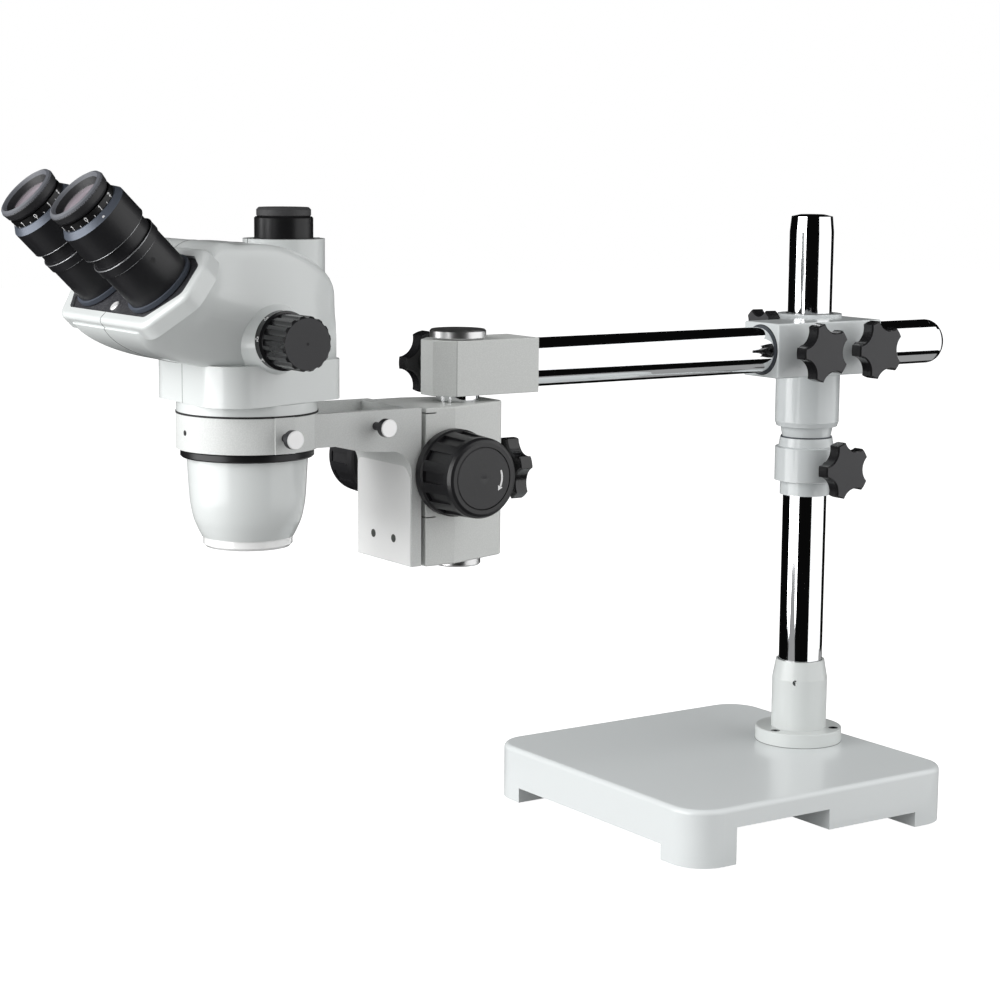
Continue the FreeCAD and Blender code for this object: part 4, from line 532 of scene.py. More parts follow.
@dataclass(frozen=True)
class Spindle:
    """An axis with a clock direction, for things that lie round it.

    Attributes:
        origin: A point on the axis, in millimetres from the foot of the post.
        along: The axis.
        noon: The direction that angle zero points in.
    """

    origin: Triple
    along: Triple
    noon: Triple

    def point(self, radius: float, degrees: float, height: float) -> Vector:
        """Turn a radius, an angle and a height into a point.

        Args:
            radius: Millimetres from the axis.
            degrees: Angle from the clock direction.
            height: Millimetres along the axis.

        Returns:
            The point in the frame, in metres.
        """
        axis = Vector(self.along).normalized()
        first = Vector(self.noon).normalized()
        second = axis.cross(first)
        turn = math.radians(degrees)
        out = first * math.cos(turn) + second * math.sin(turn)
        return row(*self.origin) + (out * radius + axis * height) * MM


POST_AXIS = Spindle((0.0, 0.0, 0.0), UP, NEAR)
HEAD_AXIS = Spindle((HEAD_X, BOOM_Y, 0.0), UP, NEAR)
ARM_AXIS = Spindle((0.0, BOOM_Y, 338.7), RIGHT, NEAR)
Parts = tuple[tuple[str, str], ...]
Lines = tuple[tuple[str, Spindle, float, float, float, str, str], ...]

STROKES = {
    "0": ((0.2, 0), (0.8, 0), (1, 0.3), (1, 1.3), (0.8, 1.6), (0.2, 1.6), (0, 1.3), (0, 0.3),
          (0.2, 0)),
    "1": ((0.2, 1.2), (0.6, 1.6), (0.6, 0)),
    "2": ((0, 1.3), (0.25, 1.6), (0.8, 1.6), (1, 1.3), (1, 1.0), (0, 0), (1, 0)),
    "3": ((0, 1.4), (0.25, 1.6), (0.8, 1.6), (1, 1.3), (0.8, 0.85), (0.45, 0.85), (0.8, 0.85),
          (1, 0.5), (1, 0.25), (0.8, 0), (0.2, 0), (0, 0.2)),
    "4": ((0.75, 0), (0.75, 1.6), (0, 0.5), (1, 0.5)),
    "5": ((1, 1.6), (0.1, 1.6), (0, 0.9), (0.7, 0.95), (1, 0.7), (1, 0.25), (0.75, 0), (0, 0)),
    "-": ((0.1, 0.8), (0.9, 0.8)),
}


def prism(first: int, count: int) -> Faces:
    """List the faces of a closed prism between two rings of vertices.

    Args:
        first: Number of the first ring's first vertex; the second ring follows the first.
        count: How many vertices each ring has.

    Returns:
        The two caps, then the sides.
    """
    low, high = range(first, first + count), range(first + count, first + 2 * count)
    faces = [tuple(low), tuple(high)]
    for corner in range(count):
        after = (corner + 1) % count
        faces.append((low[corner], low[after], high[after], high[corner]))
    return faces


@dataclass
class Marker:
    """Draws raised marks, rings and seams, and hands them to the body that they ride on.

    Attributes:
        shop: Where the finishes come from.
        lift: How far a mark stands off its surface, in millimetres.
    """

    shop: Workshop
    lift: float = 0.06

    def mesh(self, name: str, points: list[Vector], faces: Faces, key: str,
             body: str, angle: float = 30.0) -> bpy.types.Object:
        """Make a mesh piece in place.

        Args:
            name: The piece's name.
            points: Its vertices in the frame.
            faces: Its faces.
            key: The finish.
            body: The body that it rides on.
            angle: Edges sharper than this stay sharp.

        Returns:
            The piece.
        """
        data = bpy.data.meshes.new(name)
        data.from_pydata(points, [], faces)
        work = bmesh.new()
        work.from_mesh(data)
        bmesh.ops.recalc_face_normals(work, faces=work.faces)
        work.to_mesh(data)
        work.free()
        piece = bpy.data.objects.new(name, data)
        bpy.context.scene.collection.objects.link(piece)
        self.shop.dress(piece, key, angle)
        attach(piece, body)
        return piece

    def ring(self, name: str, spindle: Spindle, profile: Sequence[Flat], key: str,
             body: str, steps: int = 96) -> bpy.types.Object:
        """Turn a closed profile round an axis.

        Args:
            name: The piece's name.
            spindle: The axis.
            profile: Radius and height of each corner, in millimetres.
            key: The finish.
            body: The body that it rides on.
            steps: How many steps go round.

        Returns:
            The piece.
        """
        count = len(profile)
        points = [spindle.point(radius, 360.0 * step / steps, height)
                  for step in range(steps) for radius, height in profile]
        faces = []
        for step in range(steps):
            after = (step + 1) % steps
            for corner in range(count):
                nxt = (corner + 1) % count
                faces.append((step * count + corner, step * count + nxt, after * count + nxt,
                              after * count + corner))
        return self.mesh(name, points, faces, key, body)

    def hoop(self, name: str, spindle: Spindle, radius: float, height: float, thick: float,
             key: str, body: str) -> None:
        """Lay a fine round wire round an axis.

        Args:
            name: The piece's name.
            spindle: The axis.
            radius: Radius of the wire's middle line.
            height: Its height along the axis.
            thick: The wire's own radius.
            key: The finish.
            body: The body that it rides on.
        """
        self.ring(name, spindle, circle(thick, 8, radius, height), key, body)

    def strokes(self, name: str, lines: Sequence[Sequence[Flat]], width: float,
                place: Place, key: str,
                body: str) -> None:
        """Draw strokes as thin raised bars on any surface.

        Args:
            name: The piece's name.
            lines: Each line's points in millimetres on the surface.
            width: The bars' width.
            place: Turns surface millimetres and a lift into a point of the frame.
            key: The finish.
            body: The body that it rides on.
        """
        points: list[Vector] = []
        faces: Faces = []
        for line in lines:
            for start, end in zip(line, line[1:]):
                self.bar(points, faces, start, end, width, place)
        self.mesh(name, points, faces, key, body)

    def bar(self, points: list[Vector], faces: Faces, start: Flat,
            end: Flat, width: float,
            place: Place) -> None:
        """Add one bar to a list of vertices and faces.

        Args:
            points: The vertices so far.
            faces: The faces so far.
            start: Where the bar starts.
            end: Where it ends.
            width: Its width.
            place: Turns surface millimetres and a lift into a point of the frame.
        """
        run = Vector((end[0] - start[0], end[1] - start[1]))
        length = max(run.length, 1e-6)
        ahead = run / length * (width / 2)
        side = Vector((-ahead.y, ahead.x))
        corners = []
        for along, across in ((-1, -1), (1, -1), (1, 1), (-1, 1)):
            base = start if along < 0 else end
            corners.append((base[0] + along * ahead.x * 0.8 + across * side.x,
                            base[1] + along * ahead.y * 0.8 + across * side.y))
        first = len(points)
        for level in (-self.lift, self.lift):
            points.extend(place(x, y, level) for x, y in corners)
        faces.extend(prism(first, 4))

    def patch(self, name: str, outline: Sequence[Flat],
              place: Place, key: str,
              body: str) -> None:
        """Lay a thin filled shape on a surface.

        Args:
            name: The piece's name.
            outline: Its corners in millimetres on the surface.
            place: Turns surface millimetres and a lift into a point of the frame.
            key: The finish.
            body: The body that it rides on.
        """
        points = [place(x, y, level) for level in (-self.lift, self.lift) for x, y in outline]
        self.mesh(name, points, prism(0, len(outline)), key, body)

    def seam(self, name: str, source: str, point: Vector, normal: Vector, key: str, body: str,
             thick: float = 0.22,
             wanted: Callable[[Vector], bool] | None = None) -> None:
        """Run a fine line along the cut of a plane through a piece.

        Args:
            name: The line's name.
            source: The node that the plane cuts.
            point: A point on the plane, in the frame.
            normal: The plane's normal.
            key: The finish.
            body: The body that it rides on.
            thick: The line's radius in millimetres.
            wanted: Test that picks where the line shows.
        """
        work = bmesh.new()
        work.from_mesh(node(source).data)
        cut = bmesh.ops.bisect_plane(work, geom=work.verts[:] + work.edges[:] + work.faces[:],
                                     plane_co=point, plane_no=normal)["geom_cut"]
        points: list[Vector] = []
        faces: Faces = []
        for edge in cut:
            if not isinstance(edge, bmesh.types.BMEdge):
                continue
            start, end = edge.verts[0].co.copy(), edge.verts[1].co.copy()
            if wanted is not None and not wanted((start + end) / 2):
                continue
            self.rod(points, faces, start, end, thick * MM)
        work.free()
        if points:
            self.mesh(name, points, faces, key, body, 60.0)

    @staticmethod
    def rod(points: list[Vector], faces: Faces, start: Vector, end: Vector,
            thick: float) -> None:
        """Add a six-sided rod to a list of vertices and faces.

        Args:
            points: The vertices so far.
            faces: The faces so far.
            start: One end in the frame.
            end: The other end.
            thick: The rod's radius in metres.
        """
        run = end - start
        if run.length < 1e-7:
            return
        ahead = run.normalized()
        side = ahead.orthogonal().normalized()
        other = ahead.cross(side)
        first = len(points)
        for place in (start - ahead * thick * 0.4, end + ahead * thick * 0.4):
            for turn in range(6):
                angle = math.radians(60 * turn)
                points.append(place + (side * math.cos(angle) + other * math.sin(angle)) * thick)
        faces.extend(prism(first, 6))


def wrapped(spindle: Spindle, radius: float) -> Place:
    """Return a mapping of flat millimetres onto a cylinder.

    Args:
        spindle: The cylinder's axis.
        radius: Its radius.

    Returns:
        A function of distance round, distance along and lift.
    """
    def place(round_: float, along: float, lift: float) -> Vector:
        """Map one point onto the cylinder.

        Args:
            round_: Millimetres round it from the clock direction.
            along: Millimetres along its axis.
            lift: Millimetres off its skin.

        Returns:
            The point in the frame, in metres.
        """
        return spindle.point(radius + lift, math.degrees(round_ / radius), along)
    return place


def laid(spindle: Spindle, height: float) -> Place:
    """Return a mapping of flat millimetres onto the disc across an axis.

    Args:
        spindle: The axis.
        height: The disc's height along it.

    Returns:
        A function of two distances from the axis and lift.
    """
    def place(right: float, up: float, lift: float) -> Vector:
        """Map one point onto the disc.

        Args:
            right: Millimetres along the clock direction.
            up: Millimetres across it.
            lift: Millimetres off the disc.

        Returns:
            The point in the frame, in metres.
        """
        return spindle.point(math.hypot(right, up), math.degrees(math.atan2(up, right)),
                             height + lift)
    return place


def polar(radius: float, degrees: float, x: float = 0.0, y: float = 0.0) -> Flat:
    """Find a point at an angle round a middle.

    Args:
        radius: Its distance from the middle.
        degrees: Its angle.
        x: The middle across.
        y: The middle up.

    Returns:
        The point.
    """
    turn = math.radians(degrees)
    return x + radius * math.cos(turn), y + radius * math.sin(turn)


def circle(radius: float, steps: int = 20, x: float = 0.0,
           y: float = 0.0) -> list[Flat]:
    """List the corners of a round outline.

    Args:
        radius: Its radius.
        steps: How many corners it has.
        x: Its middle across.
        y: Its middle up.

    Returns:
        The corners.
    """
    return [polar(radius, 360 * step / steps, x, y) for step in range(steps)]


def figure(text: str, size: float, x: float, y: float,
           turned: bool = False) -> list[list[Flat]]:
    """Write a plain number as strokes.

    Args:
        text: The number.
        size: Width of one figure in millimetres.
        x: Where it starts across.
        y: Where it starts up.
        turned: Whether the figures read along the second direction.

    Returns:
        The strokes.
    """
    lines = []
    for place, sign in enumerate(text):
        shift = place * 1.5
        line = [((right + shift) * size, up * size) for right, up in STROKES[sign]]
        lines.append([(x - up, y + right) if turned else (x + right, y + up)
                      for right, up in line])
    return lines


def between(before: Flat, start: Flat,
            end: Flat, after: Flat,
            part: float) -> Flat:
    """Find a point on the smooth curve between two measured points.

    Args:
        before: The point ahead of the first.
        start: The first point.
        end: The second point.
        after: The point that follows the second.
        part: How far along, from nought to one.

    Returns:
        The point.
    """
    found = []
    for a, b, c, d in zip(before, start, end, after):
        found.append(0.5 * (2 * b + (c - a) * part + (2 * a - 5 * b + 4 * c - d) * part ** 2
                            + (3 * b - a - 3 * c + d) * part ** 3))
    return found[0], found[1]


# Sub-assemblies


@dataclass
class Assembly:
    """A sub-assembly that gets finishes, fine lines and small trim.

    Attributes:
        shop: Where the finishes come from.
        marker: What draws the small trim.
        parts: Each node and its finish.
        lines: Each fine line's name, axis, radius, height, thickness, finish and body.
    """

    shop: Workshop
    marker: Marker
    parts: Parts = ()
    lines: Lines = ()

    def dress(self) -> None:
        """Give every node its finish and lay the fine lines."""
        for name, key in self.parts:
            self.shop.dress(node(name), key)
        for line in self.lines:
            self.marker.hoop(*line)


@dataclass
class Stand(Assembly):
    """Base, post, flange, collar and feet.

    Attributes:
        painted_shadow_ring: Radius and height of the corners of the dark ring that paints the
            shadow in the joint above the collar.
        screw_axis: Axis of the flange, its clock direction through the set screw.
        flange_radius: The flange's outer radius at the set screw.
    """

    parts: Parts = (
        ("base_casting", "base"), ("rubber_feet", "foot"), ("post_flange", "flange"),
        ("flange_screws", "dark_steel"), ("post", "chrome_post"), ("safety_collar", "clamp"))
    lines: Lines = (
        ("flange_joint_line", POST_AXIS, 31.9, 41.15, 0.25, "soft_gap", "stand"),
        ("flange_bore_line", POST_AXIS, 16.2, 102.4, 0.22, "gap", "stand"),
        ("collar_bore_line", POST_AXIS, 16.3, 268.75, 0.22, "gap", "collar"))
    painted_shadow_ring: tuple[Flat, ...] = ((16.25, 268.85), (18.7, 268.85), (18.7, 269.75),
                                (16.25, 269.75))
    screw_axis: Spindle = Spindle((0, 0, 81.7), UP, (-0.9694, -0.2452, 0))
    flange_radius: float = 18.7

    def build(self) -> None:
        """Dress the stand, then add the painted shadow ring above the collar and the flange's set
        screw.
        """
        self.dress()
        # Painted shadow: a dark ring in the liner finish stands in for the shade in the joint
        # between the collar and the sleeve.
        self.marker.ring("collar_painted_shadow_ring", POST_AXIS, self.painted_shadow_ring, "liner", "collar")
        hole = wrapped(self.screw_axis, self.flange_radius)
        self.marker.patch("flange_set_screw_seat", circle(2.5), hole, "edge", "stand")
        deeper = Marker(self.shop, 0.12)
        deeper.patch("flange_set_screw", circle(1.6), hole, "gap", "stand")


@dataclass
class Knobs:
    """Star knobs.

    Attributes:
        shop: Where the finishes come from.
        face_depth: How deep the matt face reaches, in metres.
        faces: Each knob's node and the way that its face looks.
    """

    shop: Workshop
    face_depth: float = 0.0006
    faces: tuple[tuple[str, Triple], ...] = (
        ("collar_knob", (0, -1, 0)), ("arm_knob_left", (0, -1, 0)),
        ("arm_knob_right", (0, -1, 0)), ("post_lock_knob", (-0.990268, 0.139173, 0)),
        ("end_block_knob", (0, 1, 0)), ("focus_lock_knob", (1, 0, 0)))

    def build(self) -> None:
        """Dress the knobs: glossy flanks, matt faces."""
        for name, way in self.faces:
            knob = node(name)
            self.shop.dress(knob, "knob")
            out = Vector(way)
            far = max(out.dot(corner.co) for corner in knob.data.vertices)
            self.shop.patch(knob, "knob_matt",
                            lambda middle, normal, out=out, far=far:
                            abs(normal.dot(out)) > 0.9 and far - out.dot(middle) < self.face_depth)


@dataclass
class Boom(Assembly):
    """Cross block, arm and end block.

    Attributes:
        seam_x: Where the end block's front seam runs, from the post.
    """

    parts: Parts = (
        ("cross_block", "clamp"), ("post_bush", "liner"), ("arm_bush", "liner"),
        ("arm_tube", "chrome_arm"), ("arm_end_cap", "chrome_arm"), ("arm_spigot", "steel"),
        ("end_block", "focus"), ("focus_post", "chrome_post"),
        ("post_top_disc", "disc_steel"), ("post_bottom_disc", "disc_steel"))
    lines: Lines = (
        ("bore_line_left", ARM_AXIS, 17.5, -76.55, 0.25, "gap", "cross"),
        ("bore_line_right", ARM_AXIS, 17.5, 20.05, 0.25, "gap", "cross"),
        ("sleeve_bore_line", POST_AXIS, 17.5, 359.65, 0.25, "soft_gap", "cross"))
    seam_x: float = -343.5

    def build(self) -> None:
        """Dress the boom and add the end block's seam."""
        self.dress()
        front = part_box("end_block")[0][1]
        corner = row(self.seam_x, 0, 0)
        self.marker.seam("end_block_seam", "end_block", corner, Vector((1, 0, 0)), "soft_gap",
                         "arm", 0.14, lambda at: at.y < front + 0.001)


@dataclass
class FocusMount(Assembly):
    """Housing, slide, knobs and bracket.

    Attributes:
        barrel_line: Radius and height of the corners of the painted shadow line over the ring.
        screw_axis: Axis of the ring, its clock direction through the set screw.
        ring_radius: The ring's outer radius.
        plate_x: Where the bracket's front plate lies, from the post.
        plate_low: The plate's lowest edge.
        plate_sides: The plate's near and far edges.
        plate_corners: Middle, radius and first angle of its rounded corners.
        plate_top: Where its far edge ends above.
        plugs: Each plugged hole's name, place across and height.
        face_depth: How deep a thumb screw's bright face reaches, in metres.
        knob_axis: Axis of the focus knobs.
        arrow: Middle radius and half width of the turning arrow.
        arrow_start: Where the arrow's bow starts, in degrees.
        arrow_tip: Angle of the arrow's tip.
        arrow_root: Angle of its head's root.
        arrow_spread: How far the head reaches to each side of the bow.
    """

    parts: Parts = (
        ("focus_housing", "focus"), ("slide_plate", "steel"), ("slide_screws", "dark_steel"),
        ("focus_rack", "brass"), ("pinion_shaft", "steel"), ("pinion_bushes", "brass"),
        ("focus_knob_near", "fluted"), ("focus_knob_far", "fluted"), ("tension_caps", "cap"),
        ("head_bracket", "bracket"), ("arm_thumb_screw", "dark_steel"),
        ("ring_thumb_screw", "dark_steel"))
    barrel_line: tuple[Flat, ...] = ((42.6, 318.0), (43.25, 318.0), (43.25, 319.2),
                                     (42.6, 319.2))
    screw_axis: Spindle = Spindle((HEAD_X, BOOM_Y, 307.5), UP, (-0.999, -0.044, 0))
    ring_radius: float = 43.1
    plate_x: float = -386.45
    plate_low: float = 218.2
    plate_sides: Flat = (-67.6, -4.4)
    plate_corners: tuple[tuple[Flat, float, float], ...] = (
        ((-9.4, 275.5), 5.0, 0.0), ((-57.6, 270.5), 10.0, 90.0))
    plate_top: float = 276.0
    plugs: tuple[tuple[str, float, float], ...] = (("near", -48.1, 233.2),
                                                   ("far", -23.9, 233.2))
    face_depth: float = 0.0009
    knob_axis: Spindle = Spindle((-357.5, BOOM_Y, 276.0), NEAR, RIGHT)
    arrow: Flat = (13.2, 0.6)
    arrow_start: float = -26.0
    arrow_tip: float = -38.0
    arrow_root: float = -25.0
    arrow_spread: float = 1.8

    def build(self) -> None:
        """Dress the focus mount, then add its arrow, painted shadow line, set screw and
        painted-light front plate.
        """
        self.dress()
        for name in ("arm_thumb_screw", "ring_thumb_screw"):
            screw = node(name)
            near = min(corner.co.y for corner in screw.data.vertices)
            self.shop.patch(screw, "bright_steel",
                            lambda middle, normal, near=near:
                            middle.y - near < self.face_depth)
        self.turning_arrow()
        # Painted shadow: a dark line laid over the ring's top edge.
        self.marker.ring("barrel_shadow_line", HEAD_AXIS, self.barrel_line, "gap", "bracket")
        hole = wrapped(self.screw_axis, self.ring_radius)
        self.marker.patch("ring_set_screw", circle(1.7), hole, "gap", "bracket")
        self.panel()

    def panel(self) -> None:
        """Lay the front plate with its rounded corners and two plugged holes; its outline is the
        real one, and its paint, paler than the bracket's, paints the light falling on it.
        """
        near, far = self.plate_sides
        outline = [(near, self.plate_low), (far, self.plate_low),
                   (far, self.plate_top)]
        for middle, radius, start in self.plate_corners:
            outline.extend(polar(radius, start + 10 * step, *middle) for step in range(10))
        thick = Marker(self.shop, 0.3)
        # Painted light: the plate keeps its real outline, but its paler paint stands in for the
        # light on its face.
        thick.patch("bracket_front_plate_painted_light", outline,
                    lambda y, z, lift: row(self.plate_x - lift, y, z), "gloss", "bracket")
        for name, y, z in self.plugs:
            thick.patch(f"plate_plug_{name}", circle(2.6, 24, y, z),
                        lambda y, z, lift: row(self.plate_x - 0.15 - lift, y, z), "plug",
                        "bracket")

    def turning_arrow(self) -> None:
        """Lay the curved turning arrow on the near cap."""
        face = laid(self.knob_axis, BOOM_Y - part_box("tension_caps")[0][1] / MM)
        mean, half = self.arrow
        steps = [self.arrow_start + 4.6 * step for step in range(11)]
        bow = [polar(mean - half, turn) for turn in steps]
        bow.extend(polar(mean + half, turn) for turn in reversed(steps))
        self.marker.patch("turning_arrow", bow, face, "ink", "pinion")
        head = [polar(mean, self.arrow_tip)]
        head.extend(polar(mean + side, self.arrow_root)
                    for side in (self.arrow_spread, -self.arrow_spread))
        self.marker.patch("turning_arrow_head", head, face, "ink", "pinion")


@dataclass
class Head(Assembly):
    """Shells, barrel, nose, plate and port.

    Attributes:
        nose_outside: Measured radius and height of the nose's outer curve.
        nose_inside: Radius and height of the corners of its bore.
        port_axis: Axis of the camera port's column.
        joint_y: Where the two shells meet.
        zoom_x: The zoom knobs' axis, from the post.
        zoom_z: Their height.
        dial_radius: Radius of the zoom dial's skin.
        first_mark: Angle of the dial's first number.
        mark_step: Angle from one number to the next.
    """

    parts: Parts = (
        ("mount_barrel", "head"), ("retaining_ring", "ring"), ("nose_cone", "head"),
        ("lens_ring", "gloss"), ("objective_lens", "glass"), ("head_shell_near", "head"),
        ("head_shell_far", "head"), ("eyepiece_plate", "plate"),
        ("plate_screw", "bright_steel"), ("port_ring", "ring"), ("port_cap", "cap"),
        ("zoom_shaft", "steel"), ("zoom_knob_near", "knob"), ("zoom_knob_far", "knob"),
        ("zoom_lens_carriage", "carriage"), ("zoom_guides", "steel"))
    nose_outside: tuple[Flat, ...] = ((28.0, 242.2), (30.5, 247.2), (33.2, 254.2),
                                      (35.2, 265.2), (36.2, 280.2), (36.85, 291.1))
    nose_inside: tuple[Flat, ...] = (
        (34.4, 291.1), (34.4, 301.0), (32.0, 301.0), (32.0, 280.0), (30.6, 265.0),
        (28.4, 254.0), (26.9, 243.2), (27.0, 242.2))
    port_axis: Spindle = Spindle((-458.0, BOOM_Y, 0.0), UP, NEAR)
    joint_y: float = -36.06
    zoom_x: float = -488.4
    zoom_z: float = 365.0
    dial_radius: float = 17.75
    first_mark: float = -44.0
    mark_step: float = 43.0

    def build(self) -> None:
        """Dress the head, then turn its nose and add seams and the zoom dials' marks."""
        self.dress()
        self.nose()
        self.seams()
        for name, sign in (("near", -1), ("far", 1)):
            self.dial(name, sign)

    def nose(self) -> None:
        """Turn the nose from a smooth curve through its measured radii."""
        measured = self.nose_outside
        outer = []
        for place in range(len(measured) - 1):
            before = measured[max(place - 1, 0)]
            after = measured[min(place + 2, len(measured) - 1)]
            outer.extend(between(before, measured[place], measured[place + 1], after, part / 6)
                         for part in range(6))
        outer.append(measured[-1])
        cone = self.marker.ring("nose_cone_turned", HEAD_AXIS, [*outer, *self.nose_inside],
                                "head", "head", 144)
        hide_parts("nose_cone")

    def seams(self) -> None:
        """Draw the joint between the two shells and the line at the port's seat."""
        self.marker.hoop("column_top_line", self.port_axis, 18.4, 422.1, 0.3, "gap", "head")
        self.marker.seam("shell_joint", "head_shell_near", row(0, self.joint_y, 0),
                         Vector((0, 1, 0)), "soft_gap", "head", 0.2)

    def dial(self, name: str, sign: int) -> None:
        """Number one zoom dial.

        Args:
            name: Which side it is on.
            sign: Minus one on the near side, one on the far side.
        """
        low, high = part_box(f"zoom_knob_{name}")
        inner = abs((high[1] if sign < 0 else low[1]) / MM - BOOM_Y)
        outer = abs((low[1] if sign < 0 else high[1]) / MM - BOOM_Y)
        spindle = Spindle((self.zoom_x, BOOM_Y, self.zoom_z), (0, sign, 0), UP)
        skin = wrapped(spindle, self.dial_radius)
        lines = []
        for place, text in enumerate(("5", "4", "3", "2", "1")):
            middle = -sign * math.radians(self.first_mark + place * self.mark_step)
            middle *= self.dial_radius
            lines.append([(middle, inner + 0.6), (middle, inner + 1.9)])
            lines.extend(figure(text, 1.5, middle + 1.1, inner + 2.5, True))
        self.marker.strokes(f"zoom_marks_{name}", lines, 0.5, skin, "ink", "zoom")
        self.shop.patch(node(f"zoom_knob_{name}"), "knob_matt",
                        lambda at, normal: abs(at.y / MM - BOOM_Y) > outer - 0.35
                        and abs(normal.y) > 0.9)
        self.marker.patch(f"zoom_centre_{name}", circle(0.9), laid(spindle, outer - 0.02),
                          "gap", "zoom")


@dataclass
class Eyepieces(Assembly):
    """Eyetubes, eyepieces, dioptre rings, cups and lenses.

    Attributes:
        spread: Half the distance between the two axes, in millimetres.
        root_x: Where the eyepiece plate's lower end lies, from the post.
        root_z: Its height.
        reach: How far up the plate the axes stand.
        kinds: Each kind of node and its finish.
        steps: Each bared edge's name, radius, height, thickness and body.
        bevel_band: Heights between which an eyepiece is bevelled, in metres.
        ring_radius: Radius of the dioptre ring's skin.
        mark_step: Distance from one dioptre mark to the next.
        zero_mark: Where the zero mark stands round the ring.
        tick: Heights of a mark's ends.
        figure_foot: Height of the figures' feet.
        lens_edge: Radius, height and thickness of the lens's rim.
        dot: Radius of the skin, then place round and height of the white dot.
        screw: The same of the tube's set screw.
    """

    spread: float = 34.5
    root_x: float = -575.0
    root_z: float = 380.0
    reach: float = 24.8
    kinds: Parts = (
        ("eyetube_", "tube"), ("eyepiece_", "tube"), ("dioptre_ring_", "ring"),
        ("eyecup_", "rubber"), ("eye_lens_", "glass"))
    steps: tuple[tuple[str, float, float, float, str], ...] = (
        ("tube_top", 20.25, 28.2, 0.3, "tube"), ("collar_top", 20.95, 33.8, 0.3, "tube"),
        ("body_foot", 21.3, 42.3, 0.2, "ocular"))
    bevel_band: Flat = (0.0590, 0.0629)
    ring_radius: float = 18.1
    mark_step: float = 5.2
    zero_mark: float = -10.7
    tick: Flat = (63.15, 63.9)
    figure_foot: float = 64.3
    lens_edge: Triple = (12.7, 66.2, 0.35)
    dot: Triple = (20.6, -3.1, 60.6)
    screw: Triple = (20.3, 0.7, 22.2)

    def build(self) -> None:
        """Dress both eyepieces, then add edges, dioptre marks, dots and set screws."""
        for side, sign in (("near", -1), ("far", 1)):
            for name, key in self.kinds:
                self.shop.dress(node(name + side), key)
            spindle = self.axis(sign)
            self.tint(side, spindle)
            self.edges(side, spindle)
            self.marks(side, spindle)

    def axis(self, sign: int) -> Spindle:
        """Return one eyepiece's axis.

        Args:
            sign: Minus one for the near eyepiece, one for the far one.

        Returns:
            The axis, its clock direction towards the photographer's side.
        """
        side = self.reach * math.sqrt(0.5)
        return Spindle((self.root_x + side, BOOM_Y + sign * self.spread, self.root_z + side),
                       (-1, 0, 1), NEAR)

    def tint(self, side: str, spindle: Spindle) -> None:
        """Give bevels and rims their bluish grey.

        Args:
            side: Which eyepiece.
            spindle: Its axis.
        """
        foot = row(*spindle.origin)
        out = Vector(spindle.along).normalized()
        self.shop.patch(node(f"eyepiece_{side}"), "bevel",
                        lambda at, normal: normal.dot(out) > 0.3
                        and self.bevel_band[0] < (at - foot).dot(out) < self.bevel_band[1])
        self.shop.patch(node(f"eyetube_{side}"), "bevel",
                        lambda at, normal: (at - foot).dot(out) < 0.0042)
        self.shop.patch(node(f"eyecup_{side}"), "cup_rim",
                        lambda at, normal: (at - foot).dot(out) > 0.0735
                        and normal.dot(out) > 0.35)

    def edges(self, side: str, spindle: Spindle) -> None:
        """Lay the bared metal edges where the diameters step.

        Args:
            side: Which eyepiece.
            spindle: Its axis.
        """
        for name, radius, height, thick, body in self.steps:
            self.marker.hoop(f"edge_{name}_{side}", spindle, radius, height, thick, "edge",
                             f"{body}_{side}")
        self.marker.hoop(f"edge_lens_{side}", spindle, *self.lens_edge, "tube",
                         f"ocular_{side}")

    def marks(self, side: str, spindle: Spindle) -> None:
        """Number the dioptre ring, set its white dot and the set screws.

        Args:
            side: Which eyepiece.
            spindle: Its axis.
        """
        band = wrapped(spindle, self.ring_radius)
        lines = []
        for place in range(-4, 5):
            middle = place * self.mark_step + self.zero_mark
            lines.append([(middle, height) for height in self.tick])
            if place % 2 == 0:
                lines.extend(figure(str(abs(place) // 2), 1.2, middle - 0.6,
                                    self.figure_foot))
        self.marker.strokes(f"dioptre_marks_{side}", lines, 0.38, band, "ink",
                            f"dioptre_{side}")
        for name, (skin, across, height), radius, key, body in (
                ("index_dot", self.dot, 0.8, "ink", "ocular"),
                ("tube_set_screw", self.screw, 1.6, "gap", "tube")):
            self.marker.patch(f"{name}_{side}", circle(radius, 16, across, height),
                              wrapped(spindle, skin), key, f"{body}_{side}")


# Camera and light


@dataclass(frozen=True)
class Lamp:
    """A soft rectangular light.

    Attributes:
        name: Its name.
        spot: Where it stands.
        aim: What it looks at.
        size: Width and height in metres.
        power: Watts.
        scatters: Whether it also lights surfaces that scatter.
    """

    name: str
    spot: Triple
    aim: Triple
    size: Flat
    power: float
    scatters: bool = True

    def build(self) -> bpy.types.Object:
        """Place the light.

        Returns:
            Its object.
        """
        data = bpy.data.lights.new(self.name, "AREA")
        data.shape = "RECTANGLE"
        data.size, data.size_y = self.size
        data.energy = self.power
        lamp = bpy.data.objects.new(self.name, data)
        bpy.context.scene.collection.objects.link(lamp)
        lamp.location = self.spot
        way = Vector(self.aim) - Vector(self.spot)
        lamp.rotation_euler = way.to_track_quat("-Z", "Y").to_euler()
        lamp.visible_camera = False
        lamp.visible_diffuse = self.scatters
        return lamp


